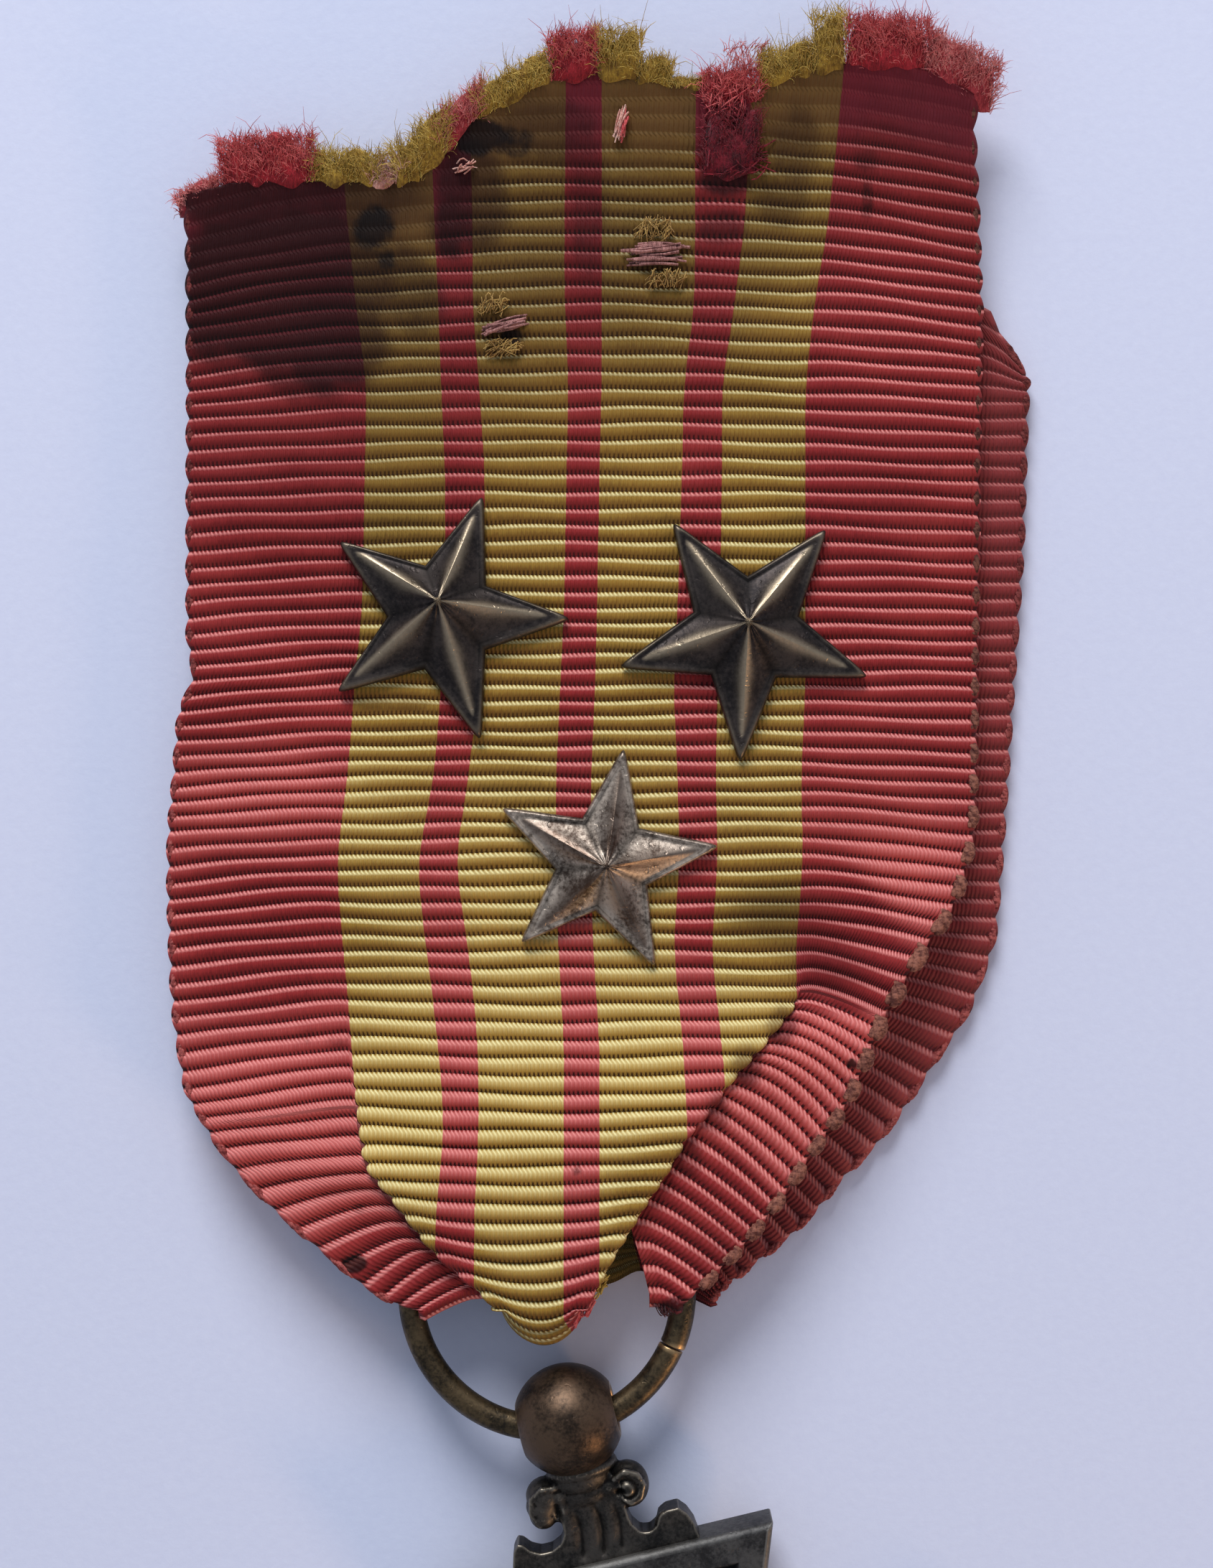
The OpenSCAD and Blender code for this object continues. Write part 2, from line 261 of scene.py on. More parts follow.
def moved_grid(points, values):
    """A bmesh grid moved to an array of points, with a named value on each point.

    A value named gap is 1 on the points of an opening, whose faces are left out."""
    rows, columns = points.shape[:2]
    grid = bmesh.new()
    bmesh.ops.create_grid(grid, x_segments=columns - 1, y_segments=rows - 1, size=1)
    layers = {name: grid.verts.layers.float.new(name) for name in values}
    for vert in grid.verts:
        column = round((vert.co.x + 1) / 2 * (columns - 1))
        row = round((vert.co.y + 1) / 2 * (rows - 1))
        vert.co = points[row, column]
        for name, layer in layers.items():
            vert[layer] = values[name][row, column]
    if "gap" in layers:
        inside = [face for face in grid.faces if all(vert[layers["gap"]] > 0.5 for vert in face.verts)]
        bmesh.ops.delete(grid, geom=inside, context="FACES")
    bmesh.ops.remove_doubles(grid, verts=grid.verts, dist=WELD)
    bmesh.ops.dissolve_degenerate(grid, edges=grid.edges, dist=0.001)
    bmesh.ops.recalc_face_normals(grid, faces=grid.faces)
    return grid


# The ribbon: a 37 mm strip with a rib about every 0.77 mm, folded through the ring.
# Rows of points to a rib, thickness of the cloth, and how far its edge swells out
RIB_STEPS, CLOTH, EDGE_OUT = 6, 0.72, 0.22
# columns: height, distance between ribs on the front, on the rear, depth of the groove between them
RIBS = np.array([
    [-6.0, 0.80, 0.62, 0.28], [4.0, 0.80, 0.62, 0.27], [10.0, 0.79, 0.62, 0.20], [14.0, 0.755, 0.65, 0.16],
    [17.0, 0.75, 0.78, 0.15], [20.0, 0.71, 0.79, 0.14], [28.0, 0.71, 0.79, 0.13], [31.0, 0.775, 0.79, 0.12],
    [45.0, 0.775, 0.79, 0.09], [58.0, 0.78, 0.79, 0.07],
])
HALF_WIDTH = 18.5
# The front layer: where its ribs start above the tear and end at the tip, their count, its lowest face
FRONT_TOP, FRONT_END, FRONT_RIBS, FRONT_LOWEST = 57.3, -3.6, 79, 1.85
# columns: height of the middle, left edge x y, left crease x, right crease x, right edge x y,
# step at the left crease, step at the right crease, face at the middle, face at the left side,
# face at the right side, rise of the ribs in the middle, shift x y of the left side's inner end,
# shift x y of the right side's inner end
FRONT = np.array([
    [57.0, -22.2, 55.3, -14.6, 7.6, 14.7, 55.6, 0, 0, 3.60, 3.60, 3.60, 0.4, 0, 0, 0, 0],
    [52.0, -22.1, 50.4, -14.6, 7.4, 14.3, 50.8, 0, 0, 2.80, 2.90, 2.90, 0.4, 0, 0, 0, 0],
    [47.0, -22.0, 45.5, -14.4, 7.0, 14.6, 45.9, 0, 0, 2.25, 2.40, 2.40, 0.4, 0, 0, 0, 0],
    [43.0, -22.0, 42.0, -14.4, 7.0, 14.75, 42.2, 0, 0, 2.15, 2.20, 2.20, 0.3, 0, 0, 0, 0],
    [36.0, -22.0, 35.7, -14.2, 6.8, 14.65, 35.7, 0, 0, 2.15, 2.15, 2.15, 0.1, 0, 0, 0, 0],
    [27.6, -22.0, 27.1, -14.1, 6.7, 14.55, 27.5, 0, 0, 2.15, 2.15, 2.25, 0.0, 0, 0, 0, 0],
    [25.7, -21.6, 25.2, -14.3, 6.6, 14.5, 25.6, 0, 0, 2.15, 2.15, 2.25, 0.0, 0, 0, 0, 0],
    [24.2, -22.4, 23.7, -14.6, 6.6, 14.5, 24.0, 0, 0, 2.15, 2.15, 2.35, 0.0, 0, 0, 0, 0],
    [18.4, -22.9, 17.9, -15.2, 6.6, 14.35, 17.9, 0, 0, 2.15, 2.15, 2.65, 0.0, 0, 0, 0, 0],
    [15.4, -22.9, 14.8, -15.2, 6.6, 13.4, 14.6, 0, 0, 2.15, 2.20, 3.20, 0.0, 0, 0, 0, 0],
    [12.5, -22.8, 11.9, -15.0, 6.5, 11.15, 11.5, 0, 0, 2.15, 2.25, 3.55, 0.0, 0, 0, 0, 0],
    [9.9, -22.6, 9.1, -14.6, 6.4, 9.7, 8.7, 0.05, 0.3, 2.40, 2.40, 3.35, -0.1, 0, 0, 0, 0.1],
    [7.0, -22.0, 5.9, -14.35, 3.75, 8.45, 5.6, 0.12, 0.7, 2.95, 2.85, 3.45, -0.2, 0, 0, 0, 0.8],
    [4.1, -20.4, 3.2, -14.1, 1.4, 6.55, 2.85, 0.3, 0.8, 3.45, 3.35, 3.60, -0.2, 0, -0.2, 0, 1.9],
    [2.5, -18.5, 1.2, -13.7, 0.35, 5.4, 1.3, 0.45, 0.8, 3.65, 3.60, 3.80, -0.3, 0, -0.4, 0, 2.3],
    [0.9, -16.4, -0.7, -12.4, -0.7, 4.3, -0.15, 0.6, 0.8, 3.70, 3.80, 3.90, -0.4, 0, -0.5, 0, 2.1],
    [-0.4, -14.6, -2.1, -11.4, -1.5, 3.25, -1.3, 0.7, 0.8, 3.75, 3.95, 4.00, -0.5, 0, -0.5, 0.1, 1.8],
    [-1.5, -13.1, -3.3, -10.4, -2.2, 2.4, -2.25, 0.7, 0.8, 3.80, 4.00, 4.00, -0.5, 0, -0.1, 0.7, 1.3],
    [-2.8, -11.8, -3.9, -8.65, -2.95, 1.25, -3.3, 0.7, 0.7, 3.85, 4.00, 4.00, -0.5, -0.1, 0.2, 2.1, 0.5],
    [-3.6, -10.8, -4.1, -7.75, -3.45, 0.5, -3.9, 0.6, 0.6, 3.85, 4.00, 4.00, -0.5, -0.3, 0.55, 2.8, 0.1],
])
# Top of the rear layer, its ribs, the height of its face, and of its underside over the table
REAR_TOP, REAR_RIBS, REAR_FACE, REAR_UNDER = 43.0, 66, 0.95, 0.02
# The rear layer, flat on the table. columns: height, left edge, right edge
REAR = np.array([
    [43.0, -20.6, 15.0], [41.3, -20.6, 16.9], [40.6, -20.6, 17.2], [31.3, -20.6, 16.9],
    [17.2, -20.9, 15.95], [12.8, -21.0, 15.6], [9.2, -21.0, 14.3], [7.2, -20.9, 12.8],
    [3.6, -20.4, 10.5], [1.5, -19.5, 8.4], [-0.2, -17.6, 7.0], [-2.4, -14.8, 4.3],
    [-3.9, -12.6, 2.3],
])
# Where the woven stripes meet. columns: height, then x of the eight seams from left to right
STRIPES = np.array([
    [54.0, -15.4, -10.9, -9.1, -4.6, -2.9, 1.5, 4.2, 8.4],
    [46.5, -14.8, -10.7, -8.9, -4.7, -2.9, 1.5, 3.9, 7.7],
    [42.5, -14.4, -10.5, -8.9, -4.7, -2.9, 1.5, 3.4, 7.0],
    [38.8, -13.9, -10.4, -8.6, -4.5, -2.9, 1.0, 2.8, 6.6],
    [34.7, -14.0, -10.2, -8.3, -4.6, -3.0, 0.9, 2.8, 6.6],
    [28.7, -14.1, -10.2, -8.4, -4.7, -3.1, 0.7, 2.7, 6.6],
    [24.6, -14.5, -10.4, -8.6, -4.9, -3.2, 0.5, 2.6, 6.6],
    [20.6, -14.8, -10.7, -9.1, -5.1, -3.4, 0.7, 2.5, 6.4],
    [16.6, -15.3, -11.5, -9.7, -5.1, -3.4, 0.8, 2.6, 6.5],
    [12.5, -15.0, -11.1, -9.1, -5.0, -3.3, 0.5, 2.3, 6.2],
    [8.5, -14.6, -10.5, -8.6, -4.7, -3.0, 0.9, 2.7, 6.3],
    [4.5, -14.2, -10.1, -8.5, -4.7, -3.0, 1.1, 3.0, 6.4],
    [0.4, -14.2, -10.5, -8.7, -4.7, -3.0, 1.1, 3.0, 6.4],
])
# The same seams on the flat cloth, as places across it, and where its outer red begins in any case
SEAMS = (-10.35, -6.4, -4.65, -0.85, 0.8, 4.6, 6.35, 10.3)
RED_FROM = 10.6
# The torn upper edge of the cloth. columns: x, height
TORN = np.array([
    [-22.4, 47.5], [-20.6, 48.1], [-18.2, 48.5], [-16.3, 48.4], [-14.6, 48.35], [-13.0, 48.45], [-11.2, 48.6],
    [-10.2, 49.5], [-9.5, 50.5], [-8.5, 51.6], [-7.0, 52.4], [-5.0, 53.3], [-3.9, 53.5], [-1.75, 53.2],
    [0.4, 52.9], [1.9, 52.9], [2.6, 51.9], [4.2, 52.2], [4.7, 52.9], [6.9, 53.4], [8.5, 53.7], [11.0, 53.6],
    [13.0, 53.0], [14.3, 52.4], [15.6, 51.8],
])
# Soft dents and buckles. columns: x, y, reach in x, reach in y, height
DENTS = (
    (-20.5, 25.4, 3.0, 2.6, 0.45), (-9.0, 20.5, 4.5, 2.4, -0.15), (-17.5, 16.5, 4.5, 4.5, 0.25),
    (4.5, 8.5, 3.0, 2.2, 0.35), (-8.0, 5.5, 4.0, 3.5, 0.25), (-17.5, 6.0, 3.5, 2.2, 0.30),
    (7.6, 10.6, 1.6, 0.9, -0.25), (8.4, 8.0, 2.0, 1.4, 0.30), (8.6, 12.8, 2.2, 0.9, -0.20),
    (10.8, 11.6, 1.0, 0.9, 0.20), (-15.0, 2.5, 2.5, 1.2, 0.35), (-11.5, 14.5, 3.0, 2.0, 0.20),
    (1.5, 33.0, 4.0, 3.0, 0.12), (-19.5, 33.0, 2.5, 3.0, 0.25),
)
# A crease from the side panel up on to the middle.
# columns: x inwards when the cloth is flat there, when it is folded, share of the step, lean of the face
CREASE = (
    (-0.50, -0.45, 0.00, 0), (-0.33, -0.12, 0.00, 0), (-0.16, 0.14, 0.02, 20), (0.0, 0.06, 0.30, 80),
    (0.16, 0.00, 0.58, 75), (0.33, 0.07, 0.84, 50), (0.50, 0.26, 0.98, 20), (0.75, 0.70, 1.00, 0),
)
CREASE_OUT = -CREASE[0][0]
CREASE_IN = CREASE[-1][0]
# From this step on the crease hides cloth, and below this share of the step a column is side panel
STEP_FOLDED = 0.225
LOW_SHARE = 0.2
SIDE_COLUMNS = 19
MIDDLE_COLUMNS = 40
REAR_COLUMNS = 70
# Parts of the front's face from left to right
LEFT_SIDE, LEFT_CREASE, MIDDLE, RIGHT_CREASE, RIGHT_SIDE = range(5)
# Where FRONT holds a side's edge x y, crease x, step, face and the shift x y of its inner end
SIDE_PLACES = {-1: (1, 2, 3, 7, 10, 13, 14), 1: (5, 6, 4, 8, 11, 15, 16)}
MIDDLE_FACE, MIDDLE_RISE = 9, 12
# The fold at the tip: middle x, radius, half width, ribs round it, how much narrower it ends, how much
# it is flattened, and how round its tip is in plan, up to 1
FOLD_X, FOLD_R, FOLD_HALF, FOLD_RIBS = -5.5, 2.22, 2.32, 8
FOLD_NARROWING, FOLD_FLAT, FOLD_ROUND = 0.50, 0.29, 0.93
# Radius at which the sides curl under
SIDE_CURL = 0.6
# The lobes beside the tip: height where they start, ribs that the left and the right one have more than
# the middle beside them, and the arch of the right one's ribs, with the height where it is greatest
LOBE_TOP = 10.3
LOBE_RIBS = (1.5, 3.5)
ARCH, ARCH_AT, ARCH_REACH = 0.55, 6.3, 2.2
# Height at which the face is measured for the torn edge
TORN_LEVEL = 50.0
# A hole torn in the middle. centre x y, reach x y
HOLE = (-1.95, 51.0, 0.45, 0.75)


def follow(table, column, y, reach=0.7):
    """Reads a column of a table at height y, with its corners eased over a reach."""
    rows = table[::-1]
    taps = ((-1.0, 1), (-0.5, 2), (0.0, 3), (0.5, 2), (1.0, 1))
    taken = (weight * np.interp(y + reach * shift, rows[:, 0], rows[:, column]) for shift, weight in taps)
    return sum(taken) / sum(weight for _, weight in taps)


def rib_heights(top, bottom, count, column):
    """Heights of the ribs from the top to the bottom."""
    heights = [top]
    for _ in range(count):
        heights.append(heights[-1] - np.interp(heights[-1], RIBS[:, 0], RIBS[:, column]))
    heights = np.array(heights)
    return top - (top - heights) * (top - bottom) / (top - heights[-1])


def row_places(heights, rows, columns):
    """Height of each point of a grid and the ribs above it, with RIB_STEPS rows to a rib."""
    ribs = np.arange(rows)[:, None] / RIB_STEPS * np.ones((1, columns))
    return np.interp(ribs, np.arange(len(heights)), heights), ribs


def spots(x, y, table):
    """The sum of a table of soft spots. columns: x, y, reach x, reach y, amount"""
    return sum(amount * np.exp(-((x - cx) / rx) ** 2 - ((y - cy) / ry) ** 2)
               for cx, cy, rx, ry, amount in table)


def rib_shape(ribs):
    """1 in the groove between two ribs and 0 on the crest."""
    return np.abs(2 * (ribs % 1) - 1) ** 2.2


def scallop(ribs):
    """How far the selvedge swells out between two loops of the weft."""
    return 0.22 * np.abs(np.sin((ribs - 1) * math.pi / 2)) - 0.05


def tube_columns(count):
    """Columns round a strip of cloth and their turn: over the face, round an edge and back under."""
    order = [*range(count), count - 1, count - 1, *reversed(range(count)), 0, 0, 0]
    turns = [0] * count + [60, 120] + [180] * count + [-120, -60, 0]
    return order, np.radians(turns)


def around(order, *fields):
    """The same fields on the columns round the strip."""
    return (field[:, order] for field in fields)


def cloth_wall(thick, groove, ribs, turn):
    """How far each point lies above the face's level, and how far out past the strip's edge."""
    half = thick / 2
    level = (half - groove * (half > 0)) * np.cos(turn) - half
    outward = np.sin(turn) * (EDGE_OUT + scallop(ribs)) * (half > 0)
    return level, outward


def stripe_place(x, y, left, right):
    """Place across the flat cloth of a point of the middle or a side of the face."""
    flat = np.array((-HALF_WIDTH, *SEAMS, HALF_WIDTH))
    seams = [left] + [follow(STRIPES, k + 1, y, 1.5) for k in range(8)] + [right]
    place = np.full(x.shape, -HALF_WIDTH)
    for k in range(9):
        low, high = seams[k], seams[k + 1]
        share = np.clip((x - low) / np.maximum(high - low, 0.05), 0, 1)
        place = place + share * (flat[k + 1] - flat[k])
    return place


def front_columns():
    """The face's columns from left to right: part, share of the way across it, row of CREASE."""
    sides = range(SIDE_COLUMNS)
    return ([(LEFT_SIDE, k / SIDE_COLUMNS, None) for k in sides]
            + [(LEFT_CREASE, 0, row) for row in CREASE]
            + [(MIDDLE, (k + 1) / (MIDDLE_COLUMNS + 1), None) for k in range(MIDDLE_COLUMNS)]
            + [(RIGHT_CREASE, 0, row) for row in CREASE[::-1]]
            + [(RIGHT_SIDE, (k + 1) / SIDE_COLUMNS, None) for k in sides])


def front_sides(y):
    """For the left side, -1, and the right, 1: edge x y, crease x, step, face, shift x y."""
    return {side: [follow(FRONT, k, y, 0.3 if k > MIDDLE_RISE else 0.7) for k in places]
            for side, places in SIDE_PLACES.items()}


def front_surface(columns, y):
    """Place of the face's points at row height y before the tip is folded, with its leans and gaps."""
    sides = front_sides(y)
    base, rise = follow(FRONT, MIDDLE_FACE, y), follow(FRONT, MIDDLE_RISE, y)
    x, up, z, lean, gap = (np.zeros_like(y) for _ in range(5))
    for j, (part, share, row) in enumerate(columns):
        side = -1 if part < MIDDLE else 1
        row_y, middle_z = y[:, j], base[:, j]
        edge_x, edge_y, crease, step, face, shift_x, shift_y = (field[:, j] for field in sides[side])
        if part == MIDDLE:
            left_crease, left_step = (field[:, j] for field in sides[-1][2:4])
            low, high = left_crease + CREASE_IN, crease - CREASE_IN
            x[:, j] = low + (high - low) * share
            up[:, j] = row_y + rise[:, j] * (1 - (2 * share - 1) ** 2)
            z[:, j] = middle_z + left_step + (step - left_step) * share
        elif row:
            flat_x, folded_x, climb, slant = row
            folded = smooth(step, 0.05, 0.45)
            inward = flat_x + (folded_x - flat_x) * folded
            eased = smooth(inward + CREASE_OUT, 0, 1.2)
            z[:, j] = middle_z + step * (climb * folded + eased * (1 - folded))
            lean[:, j] = side * slant * folded
            gap[:, j] = (0 < climb < 0.5) * (np.abs(shift_x) > 0.12)
            if climb < 0.1:
                x[:, j] = crease - side * inward * np.clip(1 - np.abs(shift_x), 0, 1) + shift_x
                up[:, j] = row_y + shift_y
            else:
                x[:, j] = crease - side * inward
                up[:, j] = row_y
        else:
            near = share if side < 0 else 1 - share
            inner_x, inner_y = crease + side * CREASE_OUT + shift_x, row_y + shift_y
            x[:, j] = edge_x + (inner_x - edge_x) * near
            up[:, j] = inner_y + (edge_y - inner_y) * (1 - near) ** 1.3
            if side > 0:
                up[:, j] += ARCH * 4 * near * (1 - near) * np.exp(-((row_y - ARCH_AT) / ARCH_REACH) ** 2)
            z[:, j] = middle_z + (face - middle_z) * (1 - near) ** 1.4
    return x, up, z, lean, gap, sides


def front_grid():
    """The front layer with its creases, its torn top and its round tip in the ring."""
    columns = front_columns()
    part = np.array([part for part, _, _ in columns])
    climb = np.array([row[2] if row else 0 for _, _, row in columns])
    rows = (FRONT_RIBS + FOLD_RIBS) * RIB_STEPS + 1
    heights = rib_heights(FRONT_TOP, FRONT_END, FRONT_RIBS, 1)
    row_y, row_ribs = row_places(heights, rows, len(columns))
    fold = np.clip((row_ribs - FRONT_RIBS) / FOLD_RIBS, 0, None)

    # The torn edge stops each column at its own height
    x, up, *_ = front_surface(columns, np.full((1, len(columns)), TORN_LEVEL))
    torn = np.interp(x[0], TORN[:, 0], TORN[:, 1]) + 0.12 * wave(x[0] * 3, 0 * x[0], 5)
    y = np.minimum(row_y, torn - (up[0] - TORN_LEVEL))
    ribs = np.where(row_y > y, np.interp(-y, -heights, np.arange(len(heights))), row_ribs)
    y = np.maximum(y, FRONT_END)
    x, up, z, lean, gap, sides = front_surface(columns, y)
    hole = ((x - HOLE[0]) / HOLE[2]) ** 2 + ((up - HOLE[1]) / HOLE[3]) ** 2
    gap = np.maximum(gap, hole + 0.25 * wave(x * 5, up * 5, 4) < 1)
    up = up + 0.10 * wave(x * 0.5, y * 1.2, 1) * smooth(y, -3, 0)
    z = np.maximum(z + spots(x, up, DENTS), FRONT_LOWEST) + 0.05 * wave(x * 0.8, y * 0.9, 2)
    # Under the torn edge the weave is loose, and this band is also painted dark as the shade under the curled
    # edge and its tufts
    loose = 1 - smooth(torn[None, :] - up, 1.8, 4.6 + 0.9 * wave(x * 0.8, 0 * x, 6))

    # Place across the cloth, for the stripes. Under a crease the cloth is the side's own red
    left_x, right_x = sides[-1][0], sides[1][0]
    low_left, low_right = (part < MIDDLE) & (climb < LOW_SHARE), (part > MIDDLE) & (climb < LOW_SHARE)
    across = stripe_place(x, y, left_x, right_x)
    across = np.where(low_left & (sides[-1][3] > STEP_FOLDED),
                      np.minimum(-HALF_WIDTH + (x - left_x), -RED_FROM), across)
    across = np.where(low_right & (sides[1][3] > STEP_FOLDED),
                      np.maximum(HALF_WIDTH - (right_x - x), RED_FROM), across)

    # The tip: every row turns about an axis across the cloth, and the sides curl under on their own
    first, last = SIDE_COLUMNS + len(CREASE) - 1, -SIDE_COLUMNS - len(CREASE)
    off_middle = 2 * np.clip((x - x[:, [first]]) / (x[:, [last]] - x[:, [first]]), 0, 1) - 1
    in_middle = smooth(np.where(part == MIDDLE, 1, climb)) * np.ones_like(y)
    bulge = np.sqrt(1 - FOLD_ROUND * off_middle ** 2)
    turned = smooth(fold, 0, 0.5)
    drop, radius, reach = (SIDE_CURL + (FOLD_R * size - SIDE_CURL) * in_middle
                           for size in (1, 1 - (1 - bulge) * turned, bulge))
    fold_x = FOLD_X + off_middle * (FOLD_HALF - FOLD_NARROWING * smooth(fold, 0.1, 0.6))
    x = x + (fold_x - x) * turned * in_middle
    up = up - 0.3 * smooth(0.5 - y, 0, 4) * in_middle
    thick = np.minimum(CLOTH, np.where(fold > 0, 0.8 * radius, CLOTH))
    thick = thick * (fold < 1) * (row_ribs > 0) * (gap < 0.5)
    ribs = np.minimum(ribs, FRONT_RIBS) + np.maximum(ribs - FRONT_RIBS, 0) * (0.2 + 0.8 * in_middle)
    in_lobe = np.clip((LOBE_TOP - y) / (LOBE_TOP - FRONT_END), 0, 1)
    ribs = ribs + (LOBE_RIBS[0] * low_left + LOBE_RIBS[1] * low_right) * in_lobe
    face = x, up, z, ribs

    # Over the face, round the edges and back under
    order, turn = tube_columns(len(columns))
    x, y, up, axis_z, ribs, across = around(order, x, y, up, z - drop, ribs, across)
    lean, fold, in_middle, radius, reach = around(order, lean, fold, in_middle, radius, reach)
    thick, loose, gap = around(order, thick, loose, gap)
    groove = np.interp(y, RIBS[:, 0], RIBS[:, 3]) * (0.85 + 0.3 * wave(x * 0.3, ribs * 2.1, 3))
    groove = groove * rib_shape(ribs) * (1 - 0.7 * loose) * (thick > 0)
    level, outward = cloth_wall(thick, groove, ribs, turn)
    tilt = np.radians(lean) * (turn == 0)
    arm = radius + level + (1 - np.cos(tilt)) * groove
    angle = math.pi * fold
    points = np.stack([
        x + outward - np.sin(tilt) * groove,
        up - (arm + reach - radius) * np.sin(angle) * (1 - FOLD_FLAT * in_middle),
        axis_z + arm * np.cos(angle),
    ], axis=-1)
    return points, dict(across=across, along=ribs, gap=gap, loose=loose), face


def rear_grid():
    """The rear layer, which lies flat and gathers towards the ring."""
    share = np.linspace(0, 1, REAR_COLUMNS)[None, :]
    heights = rib_heights(REAR_TOP, FRONT_END, REAR_RIBS, 2)
    y, ribs = row_places(heights, REAR_RIBS * RIB_STEPS + 1, REAR_COLUMNS)
    gather = smooth(6 - y, 0, 9)
    droop_left = gather * 1.5 * smooth(y, -6, 2)
    droop_right = smooth(17 - y, 0, 13) * 4.2 * smooth(y, -6, 2)
    left, right = follow(REAR, 1, y - droop_left), follow(REAR, 2, y - droop_right)
    x = left + (right - left) * share
    corner = 2.0 * np.clip((x - 14.4) / 2.6, 0, 1) ** 2 * smooth(y, 38, 43)
    droop = (np.clip((share - 0.75) / 0.25, 0, 1) ** 1.8 * droop_right
             + np.clip((0.2 - share) / 0.2, 0, 1) ** 1.8 * droop_left)
    tuck = 0.8 * np.exp(-((x + 0.9) / 1.0) ** 2) * smooth(-y, 1, 3.6)
    up = y - corner - droop + 0.1 * wave(x * 0.4, y, 8) + tuck
    z = REAR_FACE + 0.06 * wave(x * 0.5, y * 0.5, 9) + 0.25 * gather * (np.cos(share * 31) - 0.4)
    face = x, up, z, ribs
    thick = CLOTH * (ribs > 0) * (ribs < REAR_RIBS)
    order, turn = tube_columns(REAR_COLUMNS)
    x, up, z, ribs, thick, across = around(order, x, up, z, ribs, thick, HALF_WIDTH * (2 * share - 1) + 0 * y)
    groove = rib_shape(ribs) * np.interp(up, RIBS[:, 0], RIBS[:, 3])
    level, outward = cloth_wall(thick, groove, ribs, turn)
    points = np.stack([x + outward, up, np.maximum(z + level, REAR_UNDER)], axis=-1)
    return points, dict(across=across, along=ribs), face


# Stains, from the photo, and painted shade. columns: x, y, reach x, reach y, strength, and 1 for ink or 0 for
# brown dirt and painted shade
STAINS_AND_SHADES = (
    # The large dark patch at the top left is brown dirt, darkened further as painted shade of the curled-up
    # corner
    (-17.9, 43.4, 7.4, 5.0, 1.0, 0), (-17.5, 47.6, 8.0, 3.2, 0.75, 0), (-15.6, 42.0, 3.4, 4.6, 1.0, 0),
    (-13.5, 46.1, 1.25, 1.4, 0.9, 1), (-12.9, 44.8, 0.6, 0.8, 0.7, 1), (-11.9, 42.9, 2.2, 2.2, 0.55, 0),
    (-9.0, 47.6, 2.3, 3.4, 0.75, 0), (-8.6, 50.4, 2.0, 1.1, 0.95, 1), (-6.8, 50.1, 1.2, 1.0, 0.75, 1),
    (-9.9, 46.4, 1.1, 2.0, 0.9, 0), (-5.4, 50.6, 3.4, 2.0, 0.55, 0), (-3.5, 47.5, 1.2, 5.0, 0.45, 0),
    # The first spot here is painted shade in the band under the tangle of maroon threads
    (2.9, 48.3, 1.7, 0.8, 0.8, 0), (2.9, 46.2, 1.4, 1.1, 0.5, 0), (5.6, 47.4, 1.6, 1.6, 0.5, 0),
    (9.55, 47.5, 0.5, 1.3, 0.6, 1), (9.5, 49.3, 0.8, 0.7, 0.45, 0), (11.5, 51.0, 4.2, 2.4, 0.25, 0),
    (-18.5, 20.3, 1.8, 0.7, 0.35, 1), (-14.25, -1.9, 0.8, 0.5, 1.0, 1), (8.7, 7.3, 0.34, 0.34, 1.0, 1),
    (12.9, 35.0, 0.3, 0.4, 0.7, 1), (-14.0, 0.6, 0.5, 0.4, 0.5, 1), (-15.8, 8.2, 2.6, 1.2, 0.4, 1),
    (-4.0, 2.5, 0.4, 0.4, 0.6, 1), (6.2, 49.8, 1.5, 2.5, 0.55, 0), (-7.0, 41.1, 0.8, 0.6, 1.0, 1),
    # The last spot here and the three below are painted shade along the crease of the right knee
    (-0.2, 44.9, 1.2, 0.5, 0.7, 1), (-12.6, -4.2, 1.8, 1.0, 0.4, 0), (5.5, 9.0, 0.9, 1.2, 0.6, 0),
    (3.9, 7.1, 0.9, 1.3, 0.6, 0), (2.5, 5.0, 0.8, 1.3, 0.5, 0), (1.2, 2.9, 0.8, 1.2, 0.45, 0),
    (0.6, -4.0, 0.9, 0.7, 0.8, 0), (-12.8, 24.0, 2.6, 0.5, 0.5, 0),
)
# Painted light and shade down the ribbon: darker towards the curled-up top, paler low down. columns: height,
# amount
LIGHT = np.array([
    [-6, -0.2], [-3, 0.1], [2, 0.35], [10, 0.25], [20, 0.10], [30, -0.05], [38, -0.35], [45, -0.65],
    [56, -1.0],
])
